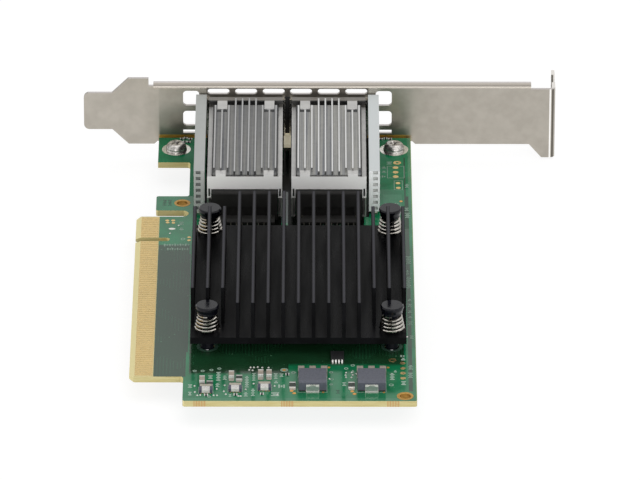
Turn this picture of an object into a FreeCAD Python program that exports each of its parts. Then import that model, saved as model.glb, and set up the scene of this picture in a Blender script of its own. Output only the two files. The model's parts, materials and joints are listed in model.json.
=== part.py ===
import FreeCAD, Part
import math
import os
import re
import Sketcher

# Dual-port network interface card: a low-profile PCI Express x16 board with a
# full-height bracket, two pluggable-optics ports and a finned controller cooler.
#
# Frame: millimetres. +X runs from the contact edge to the top edge of the board,
# +Y runs towards the bracket and +Z leaves the component side. The origin is the
# PCI Express datum: the contact edge line at the middle of the key notch, at
# half the board's thickness.

SIZES = {
    # circuit board
    "board_thick": 1.57,
    "card_height": 68.9,
    "board_length": 142.24,
    "board_far_y": 57.34,
    "shoulder_x": 12.97,
    "horn_x": 4.77,
    "horn_near_y": 43.1,
    "tongue_far_y": 23.97,
    "tongue_near_y": 15.97,
    "contact_far_y": 12.6,
    "contact_span": 85.2,
    "contact_corner": 1.0,
    "key_width": 1.9,
    "key_depth": 8.5,
    "bevel_length": 1.3,
    "bevel_depth": 0.45,
    "board_corner_radius": 0.6,
    "inner_corner_radius": 0.8,
    "tongue_hole_x": 11.3,
    "tongue_hole_y": 20.1,
    "plated_hole_d": 2.9,
    "corner_hole_inset_x": 2.85,
    "corner_hole_inset_y": 2.5,
    # edge contacts
    "contact_pitch": 1.0,
    "contact_width": 0.7,
    "contact_length": 4.3,
    "contact_thick": 0.05,
    "key_to_contact": 1.5,
    # controller and its cooler
    "chip_off_middle": -0.385,
    "chip_y": -31.2,
    "chip_side": 25.0,
    "chip_carrier_thick": 1.1,
    "chip_lid_side": 19.0,
    "chip_lid_thick": 1.4,
    "thermal_pad_thick": 0.4,
    "sink_width": 52.1,
    "sink_length": 60.0,
    "sink_base_thick": 1.7,
    "sink_fin_height": 9.5,
    "sink_fin_thick": 0.85,
    "sink_fin_count": 15,
    "sink_fin_inset": 0.05,
    "sink_pocket_fins": 3,
    "sink_pocket_near": 7.8,
    "sink_pocket_far": 8.4,
    # push pins and their springs
    "pin_near_inset_y": 4.1,
    "pin_far_inset_y": 3.8,
    "pin_inset_left": 4.1,
    "pin_inset_right": 3.5,
    "pin_head_radius": 2.8,
    "pin_head_thick": 0.75,
    "pin_collar_radius": 2.5,
    "pin_collar_drop": 1.35,
    "pin_spring_length": 4.75,
    "pin_shaft_radius": 1.6,
    "pin_shaft_clearance": 0.15,
    "pin_barb_radius": 2.15,
    "pin_tip_length": 2.6,
    "pin_slit": 0.6,
    "spring_wire_radius": 0.28,
    "spring_low_radius": 2.95,
    "spring_top_radius": 2.15,
    "spring_turns": 4.75,
    "spring_steps_per_turn": 16,
    "spring_wire_sides": 6,
    # ports: both are laid out from their own centre lines
    "port_left_x": 27.0,
    "port_spacing": 2.3,
    "cage_width": 18.7,
    "cage_height": 9.75,
    "cage_wall": 0.35,
    "cage_near_y": 12.8,
    "cage_front_out": 1.2,
    "cage_fold_radius": 0.6,
    "cage_slit_width": 0.4,
    "cage_slit_length": 4.5,
    "cage_slit_pitch": 2.6,
    "cage_slit_count": 6,
    "cage_window_margin": 1.35,
    "cage_window_near": 3.2,
    "cage_window_far": 7.0,
    "connector_margin": 1.15,
    "connector_height": 7.6,
    "connector_rear_y": 10.8,
    "connector_depth": 10.5,
    "connector_slot_margin": 0.9,
    "connector_slot_height": 1.4,
    "connector_slot_depth": 6.5,
    "connector_slot_middle": 4.0,
    "connector_recess_margin": 1.9,
    "connector_recess_low": 0.9,
    "connector_recess_top": 3.6,
    "connector_recess_depth": 0.7,
    "connector_edge_radius": 0.6,
    "connector_clearance": 0.2,
    "cage_floor_gap": 4.0,
    # riding heat sinks of the ports
    "rider_gap": 0.2,
    "rider_clearance": 0.1,
    "rider_base_thick": 1.65,
    "rider_near_y": 12.8,
    "rider_far_y": 52.5,
    "rider_fin_top": 12.6,
    "rider_fin_count": 10,
    "rider_fin_inset": 0.3,
    "rider_fin_thick": 0.45,
    "rider_long_fins": 4,
    "rider_long_far_y": 54.5,
    "rider_short_near_y": 14.75,
    "rider_short_far_y": 50.5,
    "rider_cut_far_y": 47.7,
    "rider_foot_margin": 1.2,
    "rider_foot_inset": 5.0,
    # spring clips over the riding heat sinks
    "clip_thick": 0.3,
    "clip_arm_width": 1.05,
    "clip_bar_top": 11.2,
    "clip_bar_low": 7.75,
    "clip_tab_width": 2.5,
    "clip_tab_near_end": 14.65,
    "clip_tab_far_end": 49.9,
    "clip_far_y": 56.5,
    "clip_far_bar": 1.9,
    "clip_leg_width": 1.0,
    "clip_leg_low": 5.3,
    # light pipes
    "pipe_width": 2.7,
    "pipe_top": 12.1,
    "pipe_gap": 0.65,
    "pipe_near_y": 13.8,
    "pipe_far_y": 57.6,
    "pipe_run_depth": 4.6,
    "pipe_leg_length": 5.0,
    "pipe_foot_gap": 0.9,
    "pipe_bend": 2.8,
    "pipe_pocket_inset": 0.5,
    "pipe_pocket_count": 7,
    "pipe_pocket_pitch": 1.64,
    "pipe_pocket_width": 1.2,
    "pipe_pocket_height": 0.85,
    "pipe_pocket_depth": 0.5,
    "pipe_pocket_middle": 1.6,
    "pipe_tip_radius": 0.5,
    "pipe_tip_inset": 0.75,
    "pipe_tip_proud": 0.1,
    "pipe_tip_clearance": 0.1,
    "pipe_tip_low": 8.3,
    "pipe_tip_high": 10.2,
    "led_length": 1.6,
    "led_width": 0.8,
    "led_height": 0.6,
    # bracket
    "bracket_thick": 0.86,
    "bracket_gap": 0.8,
    "bracket_length": 120.02,
    "bracket_end_x": 105.7,
    "bracket_foot_width": 10.19,
    "bracket_foot_length": 7.2,
    "bracket_foot_corner": 1.4,
    "bracket_body_width": 18.42,
    "bracket_body_low": 2.1,
    "bracket_shoulder_run": 4.15,
    "bracket_shoulder_end": 2.2,
    "bracket_notch_width": 1.2,
    "bracket_notch_low": 14.2,
    "bracket_lip_top": 14.75,
    "bracket_lip_depth": 1.7,
    "bracket_lip_end": 99.5,
    "bracket_bend_radius": 0.4,
    "bracket_head_top": 13.4,
    "bracket_head_low": 5.85,
    "bracket_head_start": 99.1,
    "bracket_head_run": 3.2,
    "bracket_board_relief": 1.1,
    "bracket_board_clearance": 0.3,
    "bracket_relief_chamfer": 0.9,
    "bracket_tab_length": 11.43,
    "bracket_screw_slot": 4.4,
    "bracket_screw_slot_y": 6.4,
    "bracket_screw_slot_depth": 5.1,
    "bracket_ear_width": 8.0,
    "bracket_ear_length": 11.5,
    "port_hole_clearance": 0.3,
    "vent_square": 4.1,
    "vent_square_radius": 0.9,
    "vent_slot_height": 0.95,
    "vent_low": 0.95,
    "vent_middle": 3.1,
    "vent_high": 8.75,
    "vent_from_cage": 2.6,
    "top_slot_length": 5.6,
    "top_slot_height": 1.5,
    "top_slot_pitch": 7.02,
    "top_slot_middle": 12.7,
    # gasket collars between the cages and the bracket
    "collar_margin": 0.6,
    "collar_top": 11.0,
    "collar_wall": 0.3,
    "collar_depth": 1.3,
    "collar_finger_gap": 0.5,
    "collar_finger_length": 0.8,
    "collar_finger_pitch": 2.2,
    "collar_finger_count": 8,
    # middle finger of the bracket
    "finger_width": 1.8,
    "finger_length": 6.5,
    # bracket screws
    "screw_from_horn": 4.53,
    "screw_from_top": 4.3,
    "screw_from_far": 6.74,
    "screw_radius": 1.25,
    "screw_clearance": 0.25,
    "thread_air": 0.02,
    "screw_head_radius": 2.7,
    "screw_head_height": 1.9,
    "screw_tail": 0.9,
    "screw_tip_chamfer": 0.25,
    # power stage
    "coil_width": 6.7,
    "coil_depth": 7.0,
    "coil_height": 2.8,
    "coil_from_near": 4.9,
    "coil_from_top": 10.8,
    "coil_pitch": 14.1,
    "coil_edge_radius": 0.55,
    "coil_clip_width": 3.1,
    "coil_clip_height": 1.9,
    "coil_clip_thick": 0.18,
    "coil_clip_foot": 0.55,
    "bulk_cap_width": 1.5,
    "bulk_cap_depth": 2.9,
    "bulk_cap_height": 1.5,
    "bulk_cap_pitch": 2.75,
    "bulk_cap_gap": 0.35,
    "module_side": 3.1,
    "module_height": 0.9,
    "module_first": 5.53,
    "module_pitch": 7.0,
    "module_from_near": 5.4,
    "module_step": 0.65,
    "switch_width": 3.2,
    "switch_depth": 4.0,
    "switch_height": 0.9,
    "switch_from_coil": 5.95,
    "switch_from_near": 21.9,
    # small parts
    "output_cap_length": 2.8,
    "output_cap_width": 1.25,
    "output_cap_height": 1.2,
    "output_cap_left": 0.95,
    "output_cap_right": 1.05,
    "output_cap_near": 3.9,
    "output_cap_far": 5.75,
    "chip_cap_width": 1.5,
    "chip_cap_length": 2.2,
    "chip_cap_height": 0.5,
    "chip_cap_right": 0.9,
    "chip_cap_near": 2.85,
    "chip_cap_far": 5.15,
    "coil_cap_length": 2.9,
    "coil_cap_beside": 1.45,
    "coil_cap_in": 2.45,
    "small_cap_length": 1.0,
    "small_cap_width": 0.5,
    "small_cap_height": 0.5,
    "under_cap_pitch": 2.4,
    "under_cap_rows": 6,
    # seats: flat faces meet, curved ones keep this much air
    "seat_air": 0.05,
    # how far a cut starts outside the material, and how much pieces of one sheet overlap
    "overcut": 1.0,
    "overlap": 0.1,
    # share of a slot's width that the radius of its rounded end takes
    "end_round": 0.49,
}

doc = FreeCAD.newDocument("network_card")
sheet = doc.addObject("Spreadsheet::Sheet", "Sizes")
for row, (alias, number) in enumerate(SIZES.items(), start=1):
    sheet.set(f"A{row}", alias)
    sheet.set(f"B{row}", str(number))
    sheet.setAlias(f"B{row}", alias)
doc.recompute()

parts = {}

# Expressions that several pieces share.
BOARD_TOP = "board_thick / 2"
BOARD_LOW = "-board_thick / 2"
BOARD_NEAR_Y = "(board_far_y - board_length)"
CONTACT_NEAR_Y = "(contact_far_y - contact_span)"
SINK_LOW = "(board_thick / 2 + chip_carrier_thick + chip_lid_thick + thermal_pad_thick)"
SINK_TOP = f"({SINK_LOW} + sink_base_thick)"
CHIP_X = "((shoulder_x + card_height) / 2 + chip_off_middle)"
SINK_LEFT_X = f"({CHIP_X} - sink_width / 2)"
SINK_RIGHT_X = f"({CHIP_X} + sink_width / 2)"
SINK_NEAR_Y = "(chip_y - sink_length / 2)"
SINK_FAR_Y = "(chip_y + sink_length / 2)"
SINK_FIN_PITCH = "((sink_width - sink_fin_thick - 2 * sink_fin_inset) / (sink_fin_count - 1))"
PLATE_NEAR_Y = "(board_far_y + bracket_gap)"
PLATE_FAR_Y = f"({PLATE_NEAR_Y} + bracket_thick)"
BRACKET_FOOT_X = "(bracket_end_x - bracket_length)"
CONNECTOR_WIDTH = "(cage_width - 2 * connector_margin)"
RIDER_WIDTH = "(cage_width - 2 * clip_arm_width - 2 * rider_clearance)"
RIDER_FIN_PITCH = f"(({RIDER_WIDTH} - rider_fin_thick - 2 * rider_fin_inset) / (rider_fin_count - 1))"
CAGE_WINDOW_WIDTH = "(cage_width - 2 * cage_window_margin)"
PORT_X = {"left": "port_left_x", "right": "(port_left_x + cage_width + port_spacing)"}
SIDE = {"left": "-1", "right": "1"}


def value(expression):
    """The number that an expression of sheet names gives."""
    return float(sheet.evalExpression(expression))


def linked(expression):
    """The same expression as another object of the document writes it."""
    return re.sub(r"[a-z][a-z_0-9]*", r"Sizes.\g<0>", expression)


def bind(item, **expressions):
    """Tie properties of an object to the sheet."""
    for name, expression in expressions.items():
        item.setExpression(name.replace("__", "."), linked(expression))


def above_board(height):
    """Level of a height measured from the component side."""
    return f"({BOARD_TOP} + {height})"


# ---------------------------------------------------------------- PartDesign helpers

def new_body(name):
    body = doc.addObject("PartDesign::Body", name)
    body.Label = name
    parts[name] = body
    return body


def new_sketch(body, role, offset="0"):
    """A sketch on one of the body's own origin planes, lifted along its normal."""
    sketch = body.newObject("Sketcher::SketchObject", "Profile")
    plane = next(item for item in body.Origin.OriginFeatures if item.Role == role)
    sketch.AttachmentSupport = [(plane, "")]
    sketch.MapMode = "FlatFace"
    bind(sketch, AttachmentOffset__Base__z=offset)
    return sketch


def corner_points(corners):
    """Where each side starts and ends, and the arc of each rounded corner."""
    places = [FreeCAD.Vector(value(corner[0]), value(corner[1]), 0) for corner in corners]
    count = len(corners)
    joints = []
    for i, corner in enumerate(corners):
        place = places[i]
        if len(corner) == 2:
            joints.append((place, place, None))
            continue
        before = (place - places[i - 1]).normalize()
        after = (places[(i + 1) % count] - place).normalize()
        radius = value(corner[2])
        turn = before.getAngle(after)
        reach = radius * math.tan(turn / 2)
        start = place - before * reach
        end = place + after * reach
        left_turn = before.cross(after).z > 0
        inward = FreeCAD.Vector(-before.y, before.x, 0) * (1 if left_turn else -1)
        middle = start + inward * radius
        first, last = (start, end) if left_turn else (end, start)
        low = math.atan2(first.y - middle.y, first.x - middle.x)
        high = math.atan2(last.y - middle.y, last.x - middle.x)
        if high < low:
            high += 2 * math.pi
        circle = Part.Circle(middle, FreeCAD.Vector(0, 0, 1), radius)
        joints.append((start, end, (Part.ArcOfCircle(circle, low, high), left_turn)))
    return places, joints


def add_outline(sketch, corners):
    """A closed outline. A corner is a pair of expressions, or three with its radius."""
    places, joints = corner_points(corners)
    count = len(corners)
    first = sketch.GeometryCount
    sides = [Part.LineSegment(joints[i][1], joints[(i + 1) % count][0]) for i in range(count)]
    sketch.addGeometry(sides, False)
    rules = []
    driven = []
    for i, corner in enumerate(corners):
        before = first + (i - 1) % count
        after = first + i
        arc = joints[i][2]
        if arc is None:
            rules.append(Sketcher.Constraint("Coincident", before, 2, after, 1))
            held = (after, 1)
        else:
            curve = sketch.addGeometry(arc[0], False)
            point = sketch.addGeometry(Part.Point(places[i]), True)
            start, end = (1, 2) if arc[1] else (2, 1)
            rules.append(Sketcher.Constraint("Tangent", before, 2, curve, start))
            rules.append(Sketcher.Constraint("Tangent", curve, end, after, 1))
            rules.append(Sketcher.Constraint("PointOnObject", point, 1, before))
            rules.append(Sketcher.Constraint("PointOnObject", point, 1, after))
            driven.append((len(rules), corner[2]))
            rules.append(Sketcher.Constraint("Radius", curve, value(corner[2])))
            held = (point, 1)
        driven.append((len(rules), corner[0]))
        rules.append(Sketcher.Constraint("DistanceX", -1, 1, *held, places[i].x))
        driven.append((len(rules), corner[1]))
        rules.append(Sketcher.Constraint("DistanceY", -1, 1, *held, places[i].y))
    start = sketch.ConstraintCount
    sketch.addConstraint(rules)
    for index, expression in driven:
        sketch.setExpression(f"Constraints[{start + index}]", linked(expression))


def add_circle(sketch, x, y, radius):
    index = sketch.GeometryCount
    middle = FreeCAD.Vector(value(x), value(y), 0)
    sketch.addGeometry(Part.Circle(middle, FreeCAD.Vector(0, 0, 1), value(radius)), False)
    start = sketch.ConstraintCount
    rules = [
        Sketcher.Constraint("DistanceX", -1, 1, index, 3, middle.x),
        Sketcher.Constraint("DistanceY", -1, 1, index, 3, middle.y),
        Sketcher.Constraint("Radius", index, value(radius)),
    ]
    sketch.addConstraint(rules)
    for step, expression in enumerate((x, y, radius)):
        sketch.setExpression(f"Constraints[{start + step}]", linked(expression))


def rectangle(x_low, x_high, y_low, y_high, radius=None):
    corners = [(x_low, y_low), (x_high, y_low), (x_high, y_high), (x_low, y_high)]
    if radius is None:
        return corners
    return [(x, y, radius) for x, y in corners]


def profile(body, role, outlines=(), circles=(), offset="0"):
    sketch = new_sketch(body, role, offset)
    for corners in outlines:
        add_outline(sketch, corners)
    for x, y, radius in circles:
        add_circle(sketch, x, y, radius)
    return sketch


def pad(body, sketch, length, reverse=False, symmetric=False):
    feature = body.newObject("PartDesign::Pad", "Pad")
    feature.Profile = sketch
    feature.Reversed = reverse
    if symmetric:
        feature.SideType = "Symmetric"
    bind(feature, Length=length)
    doc.recompute()
    return feature


def pocket(body, sketch, length=None, reverse=False):
    """A cut of one length, or right through both ways where none is given."""
    before = body.Shape.Volume
    feature = body.newObject("PartDesign::Pocket", "Pocket")
    feature.Profile = sketch
    feature.Reversed = reverse
    if length is None:
        feature.Type = "ThroughAll"
        feature.SideType = "Symmetric"
    else:
        bind(feature, Length=length)
    doc.recompute()
    if body.Shape.Volume > before - 1e-6:
        raise ValueError(f"{body.Label}: a pocket removes nothing")
    return feature


def revolve(body, sketch):
    feature = body.newObject("PartDesign::Revolution", "Revolution")
    feature.Profile = sketch
    feature.ReferenceAxis = (sketch, ["V_Axis"])
    feature.Angle = 360
    doc.recompute()
    return feature


def repeat(body, feature, role, pitch, count):
    """A linear pattern of one feature along an axis of the body."""
    pattern = body.newObject("PartDesign::LinearPattern", "Pattern")
    pattern.Originals = [feature]
    axis = next(item for item in body.Origin.OriginFeatures if item.Role == role)
    pattern.Direction = (axis, [""])
    bind(pattern, Length=f"({pitch}) * ({count} - 1)", Occurrences=count)
    body.Tip = pattern
    doc.recompute()
    return pattern


# ---------------------------------------------------------------- Part helpers

def add_feature(name, solids):
    """A node of separate solids made with Part's own functions."""
    feature = doc.addObject("Part::Feature", name)
    feature.Label = name
    feature.Shape = solids[0] if len(solids) == 1 else Part.makeCompound(solids)
    parts[name] = feature
    return feature


def block(x_middle, y_middle, z_low, length_x, length_y, height):
    """A box from plain numbers, centred in X and Y on its foot."""
    corner = FreeCAD.Vector(x_middle - length_x / 2, y_middle - length_y / 2, z_low)
    return Part.makeBox(length_x, length_y, height, corner)


# ---------------------------------------------------------------- circuit board

def screw_places():
    y = "(board_far_y - screw_from_far)"
    return [("(horn_x + screw_from_horn)", y), ("(card_height - screw_from_top)", y)]


def pin_places():
    left = f"({SINK_LEFT_X} + pin_inset_left)"
    right = f"({SINK_RIGHT_X} - pin_inset_right)"
    near = f"({SINK_NEAR_Y} + pin_near_inset_y)"
    far = f"({SINK_FAR_Y} - pin_far_inset_y)"
    return [(left, near), (right, near), (left, far), (right, far)]


def make_circuit_board():
    body = new_body("circuit_board")
    key_half = "key_width / 2"
    key_round = "key_width * end_round"
    slot_round = "(tongue_near_y - contact_far_y) * end_round"
    outline = [
        ("shoulder_x", BOARD_NEAR_Y, "board_corner_radius"),
        ("card_height", BOARD_NEAR_Y, "board_corner_radius"),
        ("card_height", "board_far_y"),
        ("horn_x", "board_far_y"),
        ("horn_x", "horn_near_y"),
        ("shoulder_x", "horn_near_y", "inner_corner_radius"),
        ("shoulder_x", "tongue_far_y", "inner_corner_radius"),
        ("horn_x", "tongue_far_y", "board_corner_radius"),
        ("horn_x", "tongue_near_y", "board_corner_radius"),
        ("shoulder_x", "tongue_near_y", slot_round),
        ("shoulder_x", "contact_far_y", slot_round),
        ("contact_corner", "contact_far_y"),
        ("0", "contact_far_y - contact_corner"),
        ("0", key_half),
        ("key_depth", key_half, key_round),
        ("key_depth", f"-{key_half}", key_round),
        ("0", f"-{key_half}"),
        ("0", f"{CONTACT_NEAR_Y} + contact_corner"),
        ("contact_corner", CONTACT_NEAR_Y),
        ("shoulder_x", CONTACT_NEAR_Y, "inner_corner_radius"),
    ]
    pad(body, profile(body, "XY_Plane", [outline]), "board_thick", symmetric=True)

    low_side = "board_thick / 2 - bevel_depth"
    bevels = [
        [("0", low_side), ("bevel_length", BOARD_TOP), ("0", BOARD_TOP)],
        [("0", f"-({low_side})"), ("0", BOARD_LOW), ("bevel_length", BOARD_LOW)],
    ]
    pocket(body, profile(body, "XZ_Plane", bevels))

    holes = []
    for x, y in pin_places():
        holes.append((x, y, "pin_shaft_radius + pin_shaft_clearance"))
    for x, y in screw_places():
        holes.append((x, y, "screw_radius + screw_clearance"))
    holes.append(("tongue_hole_x", "tongue_hole_y", "plated_hole_d / 2"))
    corner_x = "card_height - corner_hole_inset_x"
    holes.append((corner_x, f"{BOARD_NEAR_Y} + corner_hole_inset_y", "plated_hole_d / 2"))
    pocket(body, profile(body, "XY_Plane", circles=holes))


def make_edge_contacts():
    """Gold contacts on both faces: 11 far of the key and 71 near of it."""
    far_count = int(round(value("(contact_far_y - 2 * key_to_contact) / contact_pitch"))) + 1
    near_count = int(round(value("(contact_span - contact_far_y - 2 * key_to_contact) / contact_pitch"))) + 1
    pitch = value("contact_pitch")
    first = value("key_to_contact")
    middles = [first + i * pitch for i in range(far_count)]
    middles += [-first - i * pitch for i in range(near_count)]
    x_middle = value("bevel_length + contact_length / 2")
    thick = value("contact_thick")
    solids = []
    for y_middle in middles:
        for z_low in (value(BOARD_TOP), value(BOARD_LOW) - thick):
            size = (value("contact_length"), value("contact_width"), thick)
            solids.append(block(x_middle, y_middle, z_low, *size))
    add_feature("edge_contacts", solids)


# ---------------------------------------------------------------- controller and cooler

def make_controller():
    body = new_body("controller_chip")
    half = "chip_side / 2"
    lid = "chip_lid_side / 2"
    carrier = profile(
        body, "XY_Plane",
        [rectangle(f"{CHIP_X} - {half}", f"{CHIP_X} + {half}", f"chip_y - {half}", f"chip_y + {half}")],
        offset=BOARD_TOP)
    pad(body, carrier, "chip_carrier_thick")
    cover = profile(
        body, "XY_Plane",
        [rectangle(f"{CHIP_X} - {lid}", f"{CHIP_X} + {lid}", f"chip_y - {lid}", f"chip_y + {lid}")],
        offset=f"{BOARD_TOP} + chip_carrier_thick")
    pad(body, cover, "chip_lid_thick")

    layer = doc.addObject("Part::Box", "thermal_pad")
    layer.Label = "thermal_pad"
    bind(layer, Length="chip_lid_side", Width="chip_lid_side", Height="thermal_pad_thick")
    bind(layer, Placement__Base__x=f"{CHIP_X} - {lid}", Placement__Base__y=f"chip_y - {lid}")
    bind(layer, Placement__Base__z=f"{BOARD_TOP} + chip_carrier_thick + chip_lid_thick")
    parts["thermal_pad"] = layer


def make_heat_sink():
    """An extruded comb with the fins milled away around the four push pins."""
    body = new_body("heat_sink")
    base = profile(
        body, "XY_Plane",
        [rectangle(SINK_LEFT_X, SINK_RIGHT_X, SINK_NEAR_Y, SINK_FAR_Y)],
        offset=SINK_LOW)
    pad(body, base, "sink_base_thick")

    first = f"{SINK_LEFT_X} + sink_fin_inset"
    fin = profile(
        body, "XY_Plane",
        [rectangle(first, f"{first} + sink_fin_thick", SINK_NEAR_Y, SINK_FAR_Y)],
        offset=SINK_TOP)
    fin_pad = pad(body, fin, "sink_fin_height")
    repeat(body, fin_pad, "X_Axis", SINK_FIN_PITCH, "sink_fin_count")

    reach = f"({SINK_FIN_PITCH} * (sink_pocket_fins - 0.5) + sink_fin_thick / 2)"
    corners = []
    for x_low, x_high in (
            (f"{SINK_LEFT_X} - overcut", f"{SINK_LEFT_X} + {reach}"),
            (f"{SINK_RIGHT_X} - {reach}", f"{SINK_RIGHT_X} + overcut")):
        corners.append(rectangle(x_low, x_high, f"{SINK_NEAR_Y} - overcut", f"{SINK_NEAR_Y} + sink_pocket_near"))
        corners.append(rectangle(x_low, x_high, f"{SINK_FAR_Y} - sink_pocket_far", f"{SINK_FAR_Y} + overcut"))
    milled = profile(body, "XY_Plane", corners, offset=SINK_TOP)
    pocket(body, milled, "sink_fin_height + overcut", reverse=True)

    holes = [(x, y, "pin_shaft_radius + pin_shaft_clearance") for x, y in pin_places()]
    drilled = profile(body, "XY_Plane", circles=holes, offset=SINK_TOP)
    pocket(body, drilled, "sink_base_thick + overcut")


def coil_spring():
    """A conical coil of round wire, lofted through facetted sections of the wire."""
    wire = value("spring_wire_radius")
    low_radius = value("spring_low_radius")
    top_radius = value("spring_top_radius")
    rise = value("pin_spring_length") - 2 * wire
    turns = value("spring_turns")
    sides = int(round(value("spring_wire_sides")))
    steps = int(round(turns * value("spring_steps_per_turn")))
    sections = []
    for i in range(steps + 1):
        share = i / steps
        turn = 2 * math.pi * turns * share
        outward = FreeCAD.Vector(math.cos(turn), math.sin(turn), 0)
        middle = outward * (low_radius + (top_radius - low_radius) * share)
        middle.z = wire + rise * share
        corners = []
        for k in range(sides + 1):
            angle = 2 * math.pi * (k + 0.5) / sides
            upward = FreeCAD.Vector(0, 0, wire * math.sin(angle))
            corners.append(middle + outward * (wire * math.cos(angle)) + upward)
        sections.append(Part.makePolygon(corners))
    return Part.makeLoft(sections, True, True)


def make_push_pins():
    """Barbed push pins, and conical coil springs between their heads and the base."""
    collar = f"({SINK_TOP} + pin_spring_length)"
    neck = f"({collar} + pin_collar_drop)"
    latch = f"({BOARD_LOW} - seat_air)"
    section = [
        ("0", f"{latch} - pin_tip_length"),
        ("pin_shaft_radius * 0.7", f"{latch} - pin_tip_length"),
        ("pin_barb_radius", latch),
        ("pin_shaft_radius", latch),
        ("pin_shaft_radius", collar),
        ("pin_collar_radius", collar),
        ("pin_collar_radius", f"{collar} + pin_collar_drop * 0.35"),
        ("pin_head_radius", neck),
        ("pin_head_radius", f"{neck} + pin_head_thick * 0.6"),
        ("pin_head_radius * 0.9", f"{neck} + pin_head_thick"),
        ("0", f"{neck} + pin_head_thick"),
    ]
    corner_names = ("near_left", "near_right", "far_left", "far_right")
    for corner, (x, y) in zip(corner_names, pin_places()):
        pin = new_body(f"push_pin_{corner}")
        revolve(pin, profile(pin, "XZ_Plane", [section]))
        half = "pin_slit / 2"
        slit = rectangle(f"-{half}", half, f"{latch} - pin_tip_length - overcut", BOARD_TOP)
        pocket(pin, profile(pin, "XZ_Plane", [slit]))
        bind(pin, Placement__Base__x=x, Placement__Base__y=y)

        spring = add_feature(f"push_pin_spring_{corner}", [coil_spring()])
        bind(spring, Placement__Base__x=x, Placement__Base__y=y, Placement__Base__z=SINK_TOP)


# ---------------------------------------------------------------- ports

def make_cage(side):
    """A folded sheet tube, open at both ends, with a window for the riding sink."""
    body = new_body(f"cage_{side}")
    x = PORT_X[side]
    front = f"({PLATE_FAR_Y} + cage_front_out)"
    low = f"({BOARD_TOP})"
    top = f"({BOARD_TOP} + cage_height)"
    half = "cage_width / 2"
    fold = "cage_fold_radius"
    wall = "cage_wall"
    shell = [
        [
            (f"{x} - {half}", low),
            (f"{x} + {half}", low),
            (f"{x} + {half}", top, fold),
            (f"{x} - {half}", top, fold),
        ],
        [
            (f"{x} - {half} + {wall}", f"{low} + {wall}"),
            (f"{x} + {half} - {wall}", f"{low} + {wall}"),
            (f"{x} + {half} - {wall}", f"{top} - {wall}", f"{fold} - {wall}"),
            (f"{x} - {half} + {wall}", f"{top} - {wall}", f"{fold} - {wall}"),
        ],
    ]
    section = profile(body, "XZ_Plane", shell, offset=f"-{front}")
    pad(body, section, f"{front} - cage_near_y")

    window = rectangle(
        f"{x} - {CAGE_WINDOW_WIDTH} / 2", f"{x} + {CAGE_WINDOW_WIDTH} / 2",
        "cage_near_y + cage_window_near", f"{PLATE_NEAR_Y} - cage_window_far")
    pocket(body, profile(body, "XY_Plane", [window], offset=f"{top} + overcut"), "overcut + cage_wall + overlap")
    floor = rectangle(
        f"{x} - {CONNECTOR_WIDTH} / 2 - connector_clearance",
        f"{x} + {CONNECTOR_WIDTH} / 2 + connector_clearance",
        "cage_near_y - overcut", "connector_rear_y + connector_depth + cage_floor_gap")
    pocket(body, profile(body, "XY_Plane", [floor], offset=f"{low} + cage_wall"), "cage_wall")

    # sprung fingers round the mouth
    first = f"{x} - cage_slit_pitch * (cage_slit_count - 1) / 2 - cage_slit_width / 2"
    slit = rectangle(
        first, f"{first} + cage_slit_width",
        f"{front} - cage_slit_length", f"{front} + overcut")
    slit_sketch = profile(body, "XY_Plane", [slit], offset=f"{top} + overcut")
    repeat(body, pocket(body, slit_sketch, "overcut + cage_wall + overlap"), "X_Axis",
           "cage_slit_pitch", "cage_slit_count")


def make_connector(side):
    """The moulded receptacle that a module's paddle card plugs into."""
    body = new_body(f"port_connector_{side}")
    x = PORT_X[side]
    half = f"{CONNECTOR_WIDTH} / 2"
    front = "(connector_rear_y + connector_depth)"
    top = above_board("connector_height")
    side_view = [
        ("connector_rear_y", BOARD_TOP),
        (front, BOARD_TOP),
        (front, top, "connector_edge_radius"),
        ("connector_rear_y", top, "connector_edge_radius"),
    ]
    pad(body, profile(body, "YZ_Plane", [side_view], offset=f"{x} - {half}"), CONNECTOR_WIDTH)
    middle = above_board("connector_slot_middle")
    slot = rectangle(
        f"{x} - {half} + connector_slot_margin", f"{x} + {half} - connector_slot_margin",
        f"{middle} - connector_slot_height / 2", f"{middle} + connector_slot_height / 2")
    slot_sketch = profile(body, "XZ_Plane", [slot], offset=f"-{front} - overcut")
    pocket(body, slot_sketch, "connector_slot_depth + overcut", reverse=True)
    recess = rectangle(
        f"{x} - {half} + connector_recess_margin", f"{x} + {half} - connector_recess_margin",
        above_board("connector_recess_low"), above_board("connector_recess_top"))
    recess_sketch = profile(body, "XZ_Plane", [recess], offset="overcut - connector_rear_y")
    pocket(body, recess_sketch, "overcut + connector_recess_depth")


def rider_fin(x, position):
    """Near side of a fin, counted from the middle of the comb."""
    return f"{x} + {RIDER_FIN_PITCH} * ({position}) - rider_fin_thick / 2"


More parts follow.
